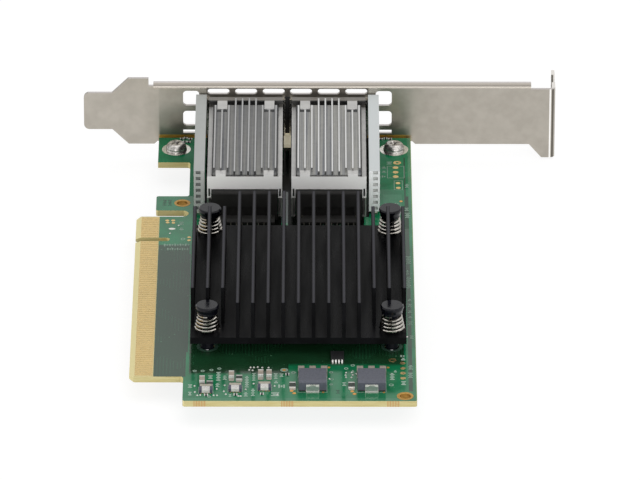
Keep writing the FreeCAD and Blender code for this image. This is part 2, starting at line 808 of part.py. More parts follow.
def make_riding_sink(side):
    """A riding heat sink: a foot in the cage window and a comb of thin fins."""
    body = new_body(f"port_heat_sink_{side}")
    x = PORT_X[side]
    low = above_board("cage_height + rider_gap")
    top = above_board("cage_height + rider_gap + rider_base_thick")
    half = f"{RIDER_WIDTH} / 2"
    foot_half = f"({CAGE_WINDOW_WIDTH} / 2 - rider_foot_margin)"
    plate = rectangle(f"{x} - {half}", f"{x} + {half}", "rider_near_y", "rider_far_y")
    pad(body, profile(body, "XY_Plane", [plate], offset=low), "rider_base_thick")
    foot = rectangle(
        f"{x} - {foot_half}", f"{x} + {foot_half}",
        "rider_near_y + rider_foot_inset", "rider_far_y - rider_foot_inset")
    pad(body, profile(body, "XY_Plane", [foot], offset=low), "rider_gap + cage_wall", reverse=True)

    height = f"{above_board('rider_fin_top')} - {top}"
    combs = (
        ("rider_fin_count", "rider_short_near_y", "rider_short_far_y"),
        ("rider_long_fins", "rider_near_y", "rider_long_far_y"),
    )
    for count, near, far in combs:
        first = rider_fin(x, f"(1 - {count}) / 2")
        fin = rectangle(first, f"{first} + rider_fin_thick", near, far)
        fin_pad = pad(body, profile(body, "XY_Plane", [fin], offset=top), height)
        repeat(body, fin_pad, "X_Axis", RIDER_FIN_PITCH, count)

    # the last fin but one on each side stops short of the clip's far tab
    cuts = []
    for sign in ("-1", "1"):
        middle = f"({x} + ({sign}) * {RIDER_FIN_PITCH} * (rider_fin_count - 3) / 2)"
        cuts.append(rectangle(
            f"{middle} - {RIDER_FIN_PITCH} / 2", f"{middle} + {RIDER_FIN_PITCH} / 2",
            "rider_cut_far_y", "rider_far_y"))
    pocket(body, profile(body, "XY_Plane", cuts, offset=top), height, reverse=True)


def make_sink_clip(side):
    """The sprung sheet frame that holds a riding sink down on its cage."""
    body = new_body(f"heat_sink_clip_{side}")
    x = PORT_X[side]
    left = f"({x} - cage_width / 2)"
    right = f"({x} + cage_width / 2)"
    arm_low = above_board("cage_height")
    tab_low = above_board("cage_height + rider_gap + rider_base_thick")
    tab_top = f"({tab_low} + clip_thick)"
    near = "(rider_near_y - seat_air - clip_thick)"
    far = "clip_far_y"
    far_bar = "(clip_far_y - clip_far_bar)"

    # two arms on the cage, tied at both ends
    ring = [
        rectangle(left, right, near, far),
        rectangle(
            f"{left} + clip_arm_width", f"{right} - clip_arm_width",
            f"{near} + clip_thick", f"{far} - clip_thick"),
    ]
    pad(body, profile(body, "XY_Plane", ring, offset=arm_low), "clip_thick")

    # near bar across the end of the sink, with a leg at each corner
    bar = [
        (left, above_board("clip_leg_low")),
        (f"{left} + clip_leg_width", above_board("clip_leg_low")),
        (f"{left} + clip_leg_width", above_board("clip_bar_low")),
        (f"{right} - clip_leg_width", above_board("clip_bar_low")),
        (f"{right} - clip_leg_width", above_board("clip_leg_low")),
        (right, above_board("clip_leg_low")),
        (right, above_board("clip_bar_top")),
        (left, above_board("clip_bar_top")),
    ]
    pad(body, profile(body, "XZ_Plane", [bar], offset=f"-{near}"), "clip_thick", reverse=True)

    # far bar: a riser from the arms and a flat top strip
    gate = rectangle(left, right, arm_low, tab_top)
    pad(body, profile(body, "XZ_Plane", [gate], offset=f"-{far}"), "clip_thick")
    strip = rectangle(left, right, far_bar, far)
    pad(body, profile(body, "XY_Plane", [strip], offset=tab_low), "clip_thick")

    # tabs that press on the sink's base between its fins
    risers = []
    tabs = []
    for sign in ("-1", "1"):
        middle = f"({x} + ({sign}) * {RIDER_FIN_PITCH} * (rider_fin_count - 3) / 2)"
        ends = (f"{middle} - clip_tab_width / 2", f"{middle} + clip_tab_width / 2")
        risers.append(rectangle(*ends, above_board("clip_bar_low"), tab_top))
        tabs.append(rectangle(*ends, near, "clip_tab_near_end"))
        tabs.append(rectangle(*ends, "clip_tab_far_end", f"{far_bar} + clip_thick"))
    pad(body, profile(body, "XZ_Plane", risers, offset=f"-{near}"), "clip_thick", reverse=True)
    pad(body, profile(body, "XY_Plane", tabs, offset=tab_low), "clip_thick")


def make_light_pipe(side):
    """A clear bar that leads the lamps' light from the board to the bracket."""
    body = new_body(f"light_pipe_{side}")
    sign = SIDE[side]
    inner = f"({PORT_X[side]} + ({sign}) * (cage_width / 2 + pipe_gap))"
    outer = f"({inner} + ({sign}) * pipe_width)"
    x_low = outer if side == "left" else inner
    low = above_board("pipe_foot_gap")
    top = above_board("pipe_top")
    under = above_board("pipe_top - pipe_run_depth")
    leg_far = "(pipe_near_y + pipe_leg_length)"
    side_view = [
        ("pipe_near_y", low),
        (leg_far, low),
        (leg_far, f"{under} - pipe_bend"),
        (f"{leg_far} + pipe_bend", under),
        ("pipe_far_y", under),
        ("pipe_far_y", top),
        ("pipe_near_y", top),
    ]
    sketch = profile(body, "YZ_Plane", [side_view], offset=x_low)
    pad(body, sketch, "pipe_width")

    middle = f"({inner} + ({sign}) * pipe_pocket_middle)"
    cell = rectangle(
        f"{middle} - pipe_pocket_width / 2", f"{middle} + pipe_pocket_width / 2",
        f"{low} + pipe_pocket_inset", f"{low} + pipe_pocket_inset + pipe_pocket_height")
    cell_sketch = profile(body, "XZ_Plane", [cell], offset="overcut - pipe_near_y")
    cell_cut = pocket(body, cell_sketch, "overcut + pipe_pocket_depth")
    repeat(body, cell_cut, "Z_Axis", "pipe_pocket_pitch", "pipe_pocket_count")

    tip_x = f"({inner} + ({sign}) * pipe_tip_inset)"
    tips = [(tip_x, above_board(level), "pipe_tip_radius") for level in ("pipe_tip_low", "pipe_tip_high")]
    pad(body, profile(body, "XZ_Plane", circles=tips, offset="-pipe_far_y"),
        f"{PLATE_FAR_Y} - pipe_far_y + pipe_tip_proud", reverse=True)


def make_status_lamps():
    """Two lamps on the board under the foot of each light pipe."""
    solids = []
    for side in ("left", "right"):
        sign = value(SIDE[side])
        inner = value(PORT_X[side]) + sign * value("cage_width / 2 + pipe_gap")
        middle = inner + sign * value("pipe_width") / 2
        for share in (0.25, 0.75):
            y_middle = value("pipe_near_y") + share * value("pipe_leg_length")
            size = (value("led_length"), value("led_width"), value("led_height"))
            solids.append(block(middle, y_middle, value(BOARD_TOP), *size))
    add_feature("status_lamps", solids)


# ---------------------------------------------------------------- bracket

def make_bracket():
    """One folded sheet: plate, stiffening lip, end tab, two ears and a finger."""
    body = new_body("bracket")
    centre = "(bracket_body_width / 2 - bracket_body_low)"
    foot_low = above_board(f"({centre} - bracket_foot_width / 2)")
    foot_top = above_board(f"({centre} + bracket_foot_width / 2)")
    body_low = above_board("(0 - bracket_body_low)")
    body_top = above_board("(bracket_body_width - bracket_body_low)")
    foot_end = f"({BRACKET_FOOT_X} + bracket_foot_length)"
    shoulder = f"({foot_end} + bracket_shoulder_run)"
    lip_start = "(bracket_shoulder_end + bracket_notch_width)"
    lip_top = above_board("bracket_lip_top")
    head_top = above_board("bracket_head_top")
    head_low = above_board("(0 - bracket_head_low)")
    relief = f"({BOARD_LOW} + bracket_board_relief - bracket_thick)"
    board_left = "(horn_x - bracket_board_clearance)"
    board_right = "(card_height + bracket_board_clearance)"
    fold = "bracket_bend_radius"
    fold_out = "(bracket_bend_radius + bracket_thick)"
    lip_root = f"({lip_top} - {fold_out} - overlap)"
    tab_root = f"(bracket_end_x - {fold_out} - overlap)"
    outline = [
        (BRACKET_FOOT_X, foot_low, "bracket_foot_corner"),
        (foot_end, foot_low),
        (shoulder, body_low),
        (f"{board_left} - bracket_relief_chamfer", body_low),
        (board_left, f"{body_low} + bracket_relief_chamfer"),
        (board_left, relief),
        (board_right, relief),
        (board_right, f"{body_low} + bracket_relief_chamfer"),
        (f"{board_right} + bracket_relief_chamfer", body_low),
        ("bracket_head_start", body_low),
        ("bracket_head_start + bracket_head_run", head_low),
        (tab_root, head_low),
        (tab_root, head_top),
        ("bracket_lip_end", head_top),
        ("bracket_lip_end", lip_root),
        (lip_start, lip_root),
        (lip_start, above_board("bracket_notch_low")),
        ("bracket_shoulder_end", above_board("bracket_notch_low")),
        ("bracket_shoulder_end", body_top),
        (shoulder, body_top),
        (foot_end, foot_top),
        (BRACKET_FOOT_X, foot_top, "bracket_foot_corner"),
    ]
    plate = profile(body, "XZ_Plane", [outline], offset=f"-{PLATE_NEAR_Y}")
    pad(body, plate, "bracket_thick", reverse=True)

    # stiffening lip along the top edge, folded away from the board
    lip_end = f"({PLATE_NEAR_Y} + bracket_lip_depth)"
    lip = [
        (PLATE_NEAR_Y, lip_root),
        (PLATE_NEAR_Y, lip_top, fold_out),
        (lip_end, lip_top),
        (lip_end, f"{lip_top} - bracket_thick"),
        (PLATE_FAR_Y, f"{lip_top} - bracket_thick", fold),
        (PLATE_FAR_Y, lip_root),
    ]
    pad(body, profile(body, "YZ_Plane", [lip], offset=lip_start), f"bracket_lip_end - {lip_start}")

    # end tab that the chassis screw holds
    tab_end = f"({PLATE_NEAR_Y} + bracket_tab_length)"
    tab = [
        (tab_root, PLATE_NEAR_Y),
        ("bracket_end_x", PLATE_NEAR_Y, fold_out),
        ("bracket_end_x", tab_end),
        ("bracket_end_x - bracket_thick", tab_end),
        ("bracket_end_x - bracket_thick", PLATE_FAR_Y, fold),
        (tab_root, PLATE_FAR_Y),
    ]
    pad(body, profile(body, "XY_Plane", [tab], offset=head_low), f"{head_top} - {head_low}")
    slot_middle = f"({PLATE_NEAR_Y} + bracket_screw_slot_y)"
    slot_low = f"({head_top} - bracket_screw_slot_depth)"
    slot_round = "bracket_screw_slot * end_round"
    slot = [
        (f"{slot_middle} - bracket_screw_slot / 2", slot_low, slot_round),
        (f"{slot_middle} + bracket_screw_slot / 2", slot_low, slot_round),
        (f"{slot_middle} + bracket_screw_slot / 2", f"{head_top} + overcut"),
        (f"{slot_middle} - bracket_screw_slot / 2", f"{head_top} + overcut"),
    ]
    pocket(body, profile(body, "YZ_Plane", [slot], offset="bracket_end_x + overcut"),
           "overcut + bracket_thick + overlap")

    # ears folded under the board that take the two screws
    ear = [
        (f"{PLATE_NEAR_Y} - bracket_ear_length", f"{BOARD_LOW} - bracket_thick"),
        (PLATE_FAR_Y, f"{BOARD_LOW} - bracket_thick", fold_out),
        (PLATE_FAR_Y, f"{relief} + overlap"),
        (PLATE_NEAR_Y, f"{relief} + overlap"),
        (PLATE_NEAR_Y, BOARD_LOW, fold),
        (f"{PLATE_NEAR_Y} - bracket_ear_length", BOARD_LOW),
    ]
    for x, y in screw_places():
        sketch = profile(body, "YZ_Plane", [ear], offset=f"{x} - bracket_ear_width / 2")
        pad(body, sketch, "bracket_ear_width")
    holes = [(x, y, "screw_radius + thread_air") for x, y in screw_places()]
    pocket(body, profile(body, "XY_Plane", circles=holes, offset=BOARD_LOW), "bracket_thick + overcut")

    # openings in the plate: the ports' mouths, vents beside them and slots above
    hole_half = "(cage_width / 2 + port_hole_clearance)"
    for side, x in PORT_X.items():
        sign = SIDE[side]
        mouth = rectangle(
            f"{x} - {hole_half}", f"{x} + {hole_half}",
            f"{BOARD_TOP} - port_hole_clearance", above_board("cage_height + port_hole_clearance"))
        vent = "(cage_width / 2 + vent_from_cage)"
        ends = [f"({x} + ({sign}) * ({vent} + vent_square))", f"({x} + ({sign}) * {vent})"]
        if side == "right":
            ends.reverse()
        vents = [rectangle(*ends, above_board("vent_low"), above_board("vent_low + vent_slot_height"))]
        for level in ("vent_middle", "vent_high"):
            vents.append(rectangle(
                *ends, above_board(level), above_board(f"{level} + vent_square"), "vent_square_radius"))
        slots = []
        for step in ("-1", "0", "1"):
            middle = f"({x} + ({step}) * top_slot_pitch)"
            slots.append(rectangle(
                f"{middle} - top_slot_length / 2", f"{middle} + top_slot_length / 2",
                above_board("top_slot_middle - top_slot_height / 2"),
                above_board("top_slot_middle + top_slot_height / 2"),
                "top_slot_height * end_round"))
        for cuts in ([mouth] + vents, slots):
            sketch = profile(body, "XZ_Plane", cuts, offset=f"overlap - {PLATE_NEAR_Y}")
            pocket(body, sketch, "bracket_thick + 2 * overlap")

    tips = []
    for side, x in PORT_X.items():
        middle = f"({x} + ({SIDE[side]}) * (cage_width / 2 + pipe_gap + pipe_tip_inset))"
        for level in ("pipe_tip_low", "pipe_tip_high"):
            tips.append((middle, above_board(level), "pipe_tip_radius + pipe_tip_clearance"))
    tip_sketch = profile(body, "XZ_Plane", circles=tips, offset=f"overlap - {PLATE_NEAR_Y}")
    pocket(body, tip_sketch, "bracket_thick + 2 * overlap")

    # finger between the ports that rests on the board
    middle = f"({PORT_X['left']} + {PORT_X['right']}) / 2"
    finger = rectangle(f"{PLATE_NEAR_Y} - finger_length", PLATE_FAR_Y, BOARD_TOP, f"{BOARD_TOP} + bracket_thick")
    pad(body, profile(body, "YZ_Plane", [finger], offset=f"{middle} - finger_width / 2"), "finger_width")


def make_collar(side):
    """Sprung gasket collar around the mouth of a cage, behind the bracket."""
    body = new_body(f"emi_collar_{side}")
    x = PORT_X[side]
    low = f"({BOARD_TOP} + bracket_thick + seat_air)"
    top = above_board("collar_top")
    outer = "(cage_width / 2 + collar_margin)"
    ring = [
        (f"{x} - {outer}", low),
        (f"{x} - {outer} + collar_wall", low),
        (f"{x} - {outer} + collar_wall", f"{top} - collar_wall"),
        (f"{x} + {outer} - collar_wall", f"{top} - collar_wall"),
        (f"{x} + {outer} - collar_wall", low),
        (f"{x} + {outer}", low),
        (f"{x} + {outer}", top),
        (f"{x} - {outer}", top),
    ]
    sketch = profile(body, "XZ_Plane", [ring], offset=f"seat_air - {PLATE_NEAR_Y}")
    pad(body, sketch, "collar_depth")
    first = f"{x} - collar_finger_pitch * (collar_finger_count - 1) / 2"
    slit = rectangle(
        f"{first} - collar_finger_gap / 2", f"{first} + collar_finger_gap / 2",
        f"{PLATE_NEAR_Y} - collar_depth - overcut", f"{PLATE_NEAR_Y} - collar_depth + collar_finger_length")
    cut = pocket(body, profile(body, "XY_Plane", [slit], offset=f"{top} + overlap"), "collar_wall + 2 * overlap")
    repeat(body, cut, "X_Axis", "collar_finger_pitch", "collar_finger_count")
    web = rectangle(
        f"{x} - cage_width / 2", f"{x} + cage_width / 2",
        above_board("cage_height + seat_air"), f"{top} - collar_wall / 2")
    pad(body, profile(body, "XZ_Plane", [web], offset=f"seat_air - {PLATE_NEAR_Y}"), "collar_wall")


def make_bracket_screws():
    """Pan-head screws through the board into the bracket's ears."""
    for side, (x, y) in zip(("left", "right"), screw_places()):
        body = new_body(f"bracket_screw_{side}")
        end = f"({BOARD_LOW} - bracket_thick - screw_tail)"
        section = [
            ("0", end),
            ("screw_radius - screw_tip_chamfer", end),
            ("screw_radius", f"{end} + screw_tip_chamfer"),
            ("screw_radius", BOARD_TOP),
            ("screw_head_radius", BOARD_TOP),
            ("screw_head_radius", f"{BOARD_TOP} + screw_head_height * 0.45"),
            ("screw_head_radius * 0.8", f"{BOARD_TOP} + screw_head_height * 0.85"),
            ("screw_head_radius * 0.4", f"{BOARD_TOP} + screw_head_height"),
            ("0", f"{BOARD_TOP} + screw_head_height"),
        ]
        revolve(body, profile(body, "XZ_Plane", [section]))
        bind(body, Placement__Base__x=x, Placement__Base__y=y)


# ---------------------------------------------------------------- power stage

COIL_NEAR_Y = f"({BOARD_NEAR_Y} + coil_from_near)"
COIL_X = {
    "left": "(card_height - coil_from_top - coil_pitch)",
    "right": "(card_height - coil_from_top)",
}


def make_power_inductors():
    """Moulded cores with a terminal strip folded round the near face."""
    near = COIL_NEAR_Y
    far = f"({COIL_NEAR_Y} + coil_depth)"
    top = above_board("coil_height")
    for side, x in COIL_X.items():
        core = new_body(f"inductor_core_{side}")
        side_view = [
            (near, BOARD_TOP),
            (far, BOARD_TOP),
            (far, top, "coil_edge_radius"),
            (near, top, "coil_edge_radius"),
        ]
        sketch = profile(core, "YZ_Plane", [side_view], offset=f"{x} - coil_width / 2")
        pad(core, sketch, "coil_width")

    solids = []
    thick = value("coil_clip_thick")
    for x in COIL_X.values():
        x_middle = value(x)
        near_y = value(near)
        riser = block(
            x_middle, near_y - thick / 2, value(BOARD_TOP),
            value("coil_clip_width"), thick, value("coil_clip_height"))
        foot_length = value("coil_clip_foot")
        foot = block(
            x_middle, near_y - thick - foot_length / 2, value(BOARD_TOP),
            value("coil_clip_width"), foot_length, thick)
        solids.append(riser.fuse(foot).removeSplitter())
    add_feature("inductor_terminals", solids)


def make_bulk_capacitors():
    """Three ceramic capacitors behind each core."""
    solids = []
    y_middle = value(f"{COIL_NEAR_Y} + coil_depth + bulk_cap_gap + bulk_cap_depth / 2")
    for x in COIL_X.values():
        for step in (-1, 0, 1):
            x_middle = value(x) + step * value("bulk_cap_pitch")
            size = (value("bulk_cap_width"), value("bulk_cap_depth"), value("bulk_cap_height"))
            solids.append(block(x_middle, y_middle, value(BOARD_TOP), *size))
    add_feature("bulk_capacitors", solids)


def make_power_switch():
    body = new_body("power_switch")
    half = "switch_width / 2"
    x = f"({COIL_X['left']} + switch_from_coil)"
    y = f"({BOARD_NEAR_Y} + switch_from_near)"
    outline = rectangle(f"{x} - {half}", f"{x} + {half}", f"{y} - switch_depth / 2", f"{y} + switch_depth / 2")
    pad(body, profile(body, "XY_Plane", [outline], offset=BOARD_TOP), "switch_height")


def module_places():
    """Middles of the three regulator modules, each a step further in than the last."""
    first = value("shoulder_x + module_first")
    pitch = value("module_pitch")
    near = value(f"{BOARD_NEAR_Y} + module_from_near")
    return [(first + i * pitch, near + i * value("module_step")) for i in range(3)]


def make_power_modules():
    """Three small regulator modules in a row by the near edge."""
    side = value("module_side")
    height = value("module_height")
    solids = [block(x, y, value(BOARD_TOP), side, side, height) for x, y in module_places()]
    add_feature("power_modules", solids)


def make_output_capacitors():
    """A ceramic capacitor behind each module, and a second one behind the last."""
    near = value("output_cap_near")
    far = value("output_cap_far")
    left = value("output_cap_left")
    first, second, last = module_places()
    spots = [(first[0] - left, first[1] + near)]
    spots.append((second[0] - left, second[1] + far))
    spots.append((last[0] - left, last[1] + far))
    spots.append((last[0] + value("output_cap_right"), last[1] + far))
    size = (value("output_cap_width"), value("output_cap_length"), value("output_cap_height"))
    solids = [block(x, y, value(BOARD_TOP), *size) for x, y in spots]
    add_feature("output_capacitors", solids)


def make_small_parts():
    """Chip capacitors beside the modules and inductors, and a field of them under the chip."""
    top = value(BOARD_TOP)
    width = value("chip_cap_width")
    height = value("chip_cap_height")
    right = value("chip_cap_right")
    solids = []
    for (x, y), behind in zip(module_places(), ("chip_cap_near", "chip_cap_far")):
        solids.append(block(x + right, y + value(behind), top, width, value("chip_cap_length"), height))
    for coil_x in COIL_X.values():
        x = value(f"{coil_x} - coil_width / 2 - coil_cap_beside")
        y = value(f"{COIL_NEAR_Y} + coil_cap_in")
        solids.append(block(x, y, top, width, value("coil_cap_length"), height))
    add_feature("chip_capacitors", solids)

    length = value("small_cap_length")
    width = value("small_cap_width")
    height = value("small_cap_height")
    rows = int(round(value("under_cap_rows")))
    pitch = value("under_cap_pitch")
    middle = (rows - 1) / 2
    solids = []
    for i in range(rows):
        for j in range(rows):
            x = value(CHIP_X) + (i - middle) * pitch
            y = value("chip_y") + (j - middle) * pitch
            solids.append(block(x, y, value(BOARD_LOW) - height, length, width, height))
    add_feature("decoupling_capacitors", solids)


# ---------------------------------------------------------------- build and write

def check_document():
    for item in doc.Objects:
        if "Invalid" in item.State or "Error" in item.State:
            raise ValueError(f"{item.Label} did not recompute: {item.State}")
    for name, item in parts.items():
        if item.Shape.isNull() or not item.Shape.isValid():
            raise ValueError(f"{name} has no valid shape")
        if not item.Shape.Solids:
            raise ValueError(f"{name} has no solid")


make_circuit_board()
make_edge_contacts()
make_controller()
make_heat_sink()
make_push_pins()
for port in ("left", "right"):
    make_cage(port)
    make_connector(port)
    make_riding_sink(port)
    make_sink_clip(port)
    make_light_pipe(port)
    make_collar(port)
make_status_lamps()
make_bracket()
make_bracket_screws()
make_power_inductors()
make_bulk_capacitors()
make_power_switch()
make_power_modules()
make_output_capacitors()
make_small_parts()
doc.recompute()
check_document()

os.makedirs("parts", exist_ok=True)
for name, item in parts.items():
    item.Shape.exportStep(f"parts/{name}.step")
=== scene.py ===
import json
import math

import bmesh
import bpy
from mathutils import Matrix, Vector


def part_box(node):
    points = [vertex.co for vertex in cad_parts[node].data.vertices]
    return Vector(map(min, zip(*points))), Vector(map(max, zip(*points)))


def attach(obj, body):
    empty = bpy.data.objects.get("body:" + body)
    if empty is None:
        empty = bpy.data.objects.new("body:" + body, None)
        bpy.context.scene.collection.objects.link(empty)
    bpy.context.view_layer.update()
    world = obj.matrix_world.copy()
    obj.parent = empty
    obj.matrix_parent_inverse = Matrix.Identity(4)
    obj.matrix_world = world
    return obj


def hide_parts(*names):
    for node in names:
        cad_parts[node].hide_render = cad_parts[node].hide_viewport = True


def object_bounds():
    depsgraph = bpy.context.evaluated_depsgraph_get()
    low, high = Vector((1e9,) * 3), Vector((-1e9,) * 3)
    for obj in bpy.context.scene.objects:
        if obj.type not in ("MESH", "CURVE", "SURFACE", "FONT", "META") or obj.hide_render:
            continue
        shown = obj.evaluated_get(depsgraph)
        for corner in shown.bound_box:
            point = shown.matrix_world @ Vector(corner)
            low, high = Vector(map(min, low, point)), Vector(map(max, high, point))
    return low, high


# Looks of a dual-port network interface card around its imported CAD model.
# Sizes are millimetres in the part's own frame and become metres with MM:
# +X from the contact edge to the top edge, +Y towards the bracket, +Z off the
# component side.

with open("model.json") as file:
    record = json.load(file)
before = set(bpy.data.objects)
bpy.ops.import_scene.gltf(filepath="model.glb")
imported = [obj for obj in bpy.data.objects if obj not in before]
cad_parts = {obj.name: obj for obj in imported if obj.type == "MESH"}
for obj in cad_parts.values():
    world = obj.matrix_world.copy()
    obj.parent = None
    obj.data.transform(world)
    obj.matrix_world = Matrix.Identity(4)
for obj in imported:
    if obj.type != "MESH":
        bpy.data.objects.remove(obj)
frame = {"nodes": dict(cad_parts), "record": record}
cad_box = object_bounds()
nodes = frame["nodes"]
MM = 0.001


def box_mm(node):
    """Lowest and highest corner of a CAD node, in millimetres."""
    low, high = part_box(node)
    return Vector(low) / MM, Vector(high) / MM


def solid_boxes(node):
    """Lowest and highest corner of each separate solid of a node, from the lowest X and Y up."""
    mesh = nodes[node].data
    places = [tuple(round(share / MM, 3) for share in vertex.co) for vertex in mesh.vertices]
    owner = {place: place for place in places}

    def root(place):
        while owner[place] != place:
            place = owner[place]
        return place

    for edge in mesh.edges:
        first, second = (root(places[index]) for index in edge.vertices)
        owner[first] = second
    groups = {}
    for place in owner:
        groups.setdefault(root(place), []).append(place)
    boxes = []
    for corners in groups.values():
        boxes.append([Vector(pick(values) for values in zip(*corners)) for pick in (min, max)])
    return sorted(boxes, key=lambda box: tuple(box[0]))


BOARD_LOW, BOARD_HIGH = box_mm("circuit_board")
BOARD_TOP = BOARD_HIGH.z
BOARD_UNDER = BOARD_LOW.z
COOLER_LOW, COOLER_HIGH = box_mm("heat_sink")
# Fins of the cooler and of the port heat sinks: how many and how thick; then the Y where the port
# heat sinks and the near part of their clips end, and the X between the ports.
SINK_FINS = 15
SINK_FIN = 0.85
RIDER_TOP = box_mm("port_heat_sink_left")[1].z
RIDER_FINS = 10
RIDER_FIN = 0.45
RIDER_RAIL = 0.3
RIDER_FAR = 52.5
CLIP_FAR_BAR = 54.4
PORTS_MIDDLE = 37.5
SIDES = ("left", "right")

# ---------------- colour and node helpers


def linear(red, green, blue):
    """A display colour of 0 to 255 a channel as the shader's linear numbers."""
    channels = []
    for channel in (red, green, blue):
        share = channel / 255
        channels.append(share / 12.92 if share <= 0.04045 else ((share + 0.055) / 1.055) ** 2.4)
    return (*channels, 1.0)


def shade(colour, factor):
    return (*(min(1.0, channel * factor) for channel in colour[:3]), 1.0)


class Look:
    """A node material that ends in one Principled shader, in object coordinates."""

    def __init__(self, name, colour, metallic=0.0, roughness=0.5, specular=0.5):
        self.name = name
        self.material = bpy.data.materials.new(name)
        self.material.use_nodes = True
        self.tree = self.material.node_tree
        self.shader = self.tree.nodes["Principled BSDF"]
        self.set("Metallic", metallic)
        self.set("Roughness", roughness)
        self.set("Specular IOR Level", specular)
        self.set("Base Color", colour)
        self.place = self.add("ShaderNodeTexCoord")

    def add(self, kind, **inputs):
        node = self.tree.nodes.new(kind)
        for name, value in inputs.items():
            self.feed(node.inputs[name], value)
        return node

    def feed(self, socket, value):
        if isinstance(value, bpy.types.NodeSocket):
            self.tree.links.new(value, socket)
        else:
            socket.default_value = value

    def set(self, name, value):
        """Feed the shader's input of that name with a number, a colour or a socket."""
        self.feed(self.shader.inputs[name], value)

    def math(self, operation, first, second=0.0):
        node = self.tree.nodes.new("ShaderNodeMath")
        node.operation = operation
        self.feed(node.inputs[0], first)
        self.feed(node.inputs[1], second)
        return node.outputs[0]

    def above(self, source, limit):
        return self.math("GREATER_THAN", source, limit)

    def below(self, source, limit):
        return self.math("LESS_THAN", source, limit)

    def both(self, first, *others):
        """The masks multiplied, so 1 where all of them are 1; a plain number weakens them."""
        for other in others:
            first = self.math("MULTIPLY", first, other)
        return first

    def either(self, first, *others):
        """The strongest of the masks."""
        for other in others:
            first = self.math("MAXIMUM", first, other)
        return first

    def coordinates(self, stretch=(1, 1, 1)):
        """Object coordinates in millimetres, stretched along the axes."""
        mapping = self.add("ShaderNodeMapping", Scale=tuple(1 / MM * share for share in stretch))
        self.tree.links.new(self.place.outputs["Object"], mapping.inputs["Vector"])
        return mapping.outputs[0]

    def position(self):
        """The X, Y and Z sockets of the place in millimetres."""
        return self.add("ShaderNodeSeparateXYZ", Vector=self.coordinates()).outputs

    def facing(self):
        """The X, Y and Z sockets of the face's own direction."""
        return self.add("ShaderNodeSeparateXYZ", Vector=self.place.outputs["Normal"]).outputs

    def noise(self, size, detail=3.0, stretch=(1, 1, 1)):
        """Soft noise whose patches are about size millimetres."""
        vector = self.coordinates(stretch)
        return self.add("ShaderNodeTexNoise", Vector=vector, Scale=1 / size, Detail=detail).outputs[0]

    def spread(self, source, low, high, from_low=0.35, from_high=0.65):
        """The source's range between from_low and from_high, laid over low to high."""
        node = self.tree.nodes.new("ShaderNodeMapRange")
        for index, value in enumerate((source, from_low, from_high, low, high)):
            self.feed(node.inputs[index], value)
        return node.outputs[0]

    def blend(self, factor, first, second):
        node = self.tree.nodes.new("ShaderNodeMix")
        node.data_type = "RGBA"
        self.feed(node.inputs[0], factor)
        self.feed(node.inputs[6], first)
        self.feed(node.inputs[7], second)
        return node.outputs[2]

    def band(self, source, low, high):
        """1 where the source lies between low and high."""
        return self.both(self.above(source, low), self.below(source, high))

    def field(self, position, x_low, x_high, y_low, y_high):
        """1 inside a rectangle of the plan."""
        return self.both(self.band(position[0], x_low, x_high), self.band(position[1], y_low, y_high))

    def patches(self, first, second, *noise):
        """Start the tone with soft patches of two colours."""
        self.tone = self.blend(self.spread(self.noise(*noise), 0.0, 1.0), first, second)

    def paint(self, mask, *colour):
        """Lay a display colour over the tone where the mask is 1."""
        self.tone = self.blend(mask, self.tone, linear(*colour))

    def sheen(self, low, high, *noise):
        """Roughness that changes softly between low and high."""
        self.set("Roughness", self.spread(self.noise(*noise), low, high))

    def grain(self, depth, *noise):
        """A fine bump of that depth in millimetres."""
        node = self.add("ShaderNodeBump", Height=self.noise(*noise), Distance=depth * MM, Strength=1.0)
        self.set("Normal", node.outputs[0])


# How far the roughness changes both ways.
POLISH = 0.08


def mottled(name, colour, metallic, roughness, patch, change=0.12, grain=0.1, depth=0.004, specular=0.5):
    """A plain material with patches of tone, a little change of gloss and a fine grain."""
    colour = linear(*colour)
    look = Look(name, colour, metallic, roughness, specular)
    look.patches(shade(colour, 1 - change), shade(colour, 1 + change), patch, 4.0)
    look.set("Base Color", look.tone)
    look.sheen(roughness - POLISH, roughness + POLISH, patch * 0.7, 2.0)
    look.grain(depth, grain, 2.0)
    return look


# ---------------- the board's look

# From this share of its direction a face counts as looking up, or sideways.
FLAT_UP = 0.97
SIDE_FACE = 0.7

BARE_GREEN = (34, 66, 46)
PALE_GREEN = (50, 122, 86)
# Slate green: board green with a painted reflection of the white backdrop, for the strip between the
# connectors.
SLATE_SHEEN_GREEN = (46, 80, 74)
EDGE_COPPER = (192, 149, 93)

# Plan fields of the component side: lowest and highest X, lowest and highest Y, colour.
BOARD_FIELDS = [
    (5.8, 13.5, -72.6, -3.0, BARE_GREEN),
    (5.8, 13.9, -60.0, -8.0, BARE_GREEN),
    (12.9, 66.0, -85.0, -83.4, PALE_GREEN),
    (66.97, 67.95, -80.0, 24.0, BARE_GREEN),
    (66.97, 67.3, 24.0, 46.0, BARE_GREEN),
    (61.7, 66.3, 15.0, 25.0, PALE_GREEN),
    (36.2, 37.8, 9.1, 26.5, SLATE_SHEEN_GREEN),
]
# Painted shade: strips that no light reaches, painted near black: between the cages, between each connector
# and the cooler, beside the light pipes, and right of the slate strip between the connectors.
PAINTED_SHADE_FIELDS = [
    (36.3, 38.7, 26.5, 58.0), (18.8, 36.2, -1.0, 14.0), (37.8, 56.8, -1.0, 14.0),
    (16.9, 17.8, 12.5, 58.0), (57.2, 58.1, 12.5, 58.0), (37.8, 38.8, 14.0, 26.5),
]
# Painted shadow of the cooler on the near strip: lowest and highest X, and the Y where the painted shadow
# ends.
PAINTED_SHADOW_FIELDS = [(14.3, 38.2, -71.2), (38.2, 66.0, -66.6)]
SHADE_START = 0.7
SHADE_SOFT = 0.9
# Where the mask shines less, because it mirrors the bracket: how much less, and the field.
CALM_FIELDS = [
    (0.24, (57.0, 68.0, 6.0, 28.0)), (0.36, (57.0, 68.0, 28.0, 60.0)), (0.38, (4.0, 14.4, 24.0, 60.0)),
]
MASK_SHINE = 0.45
DARK_CALM = 0.42
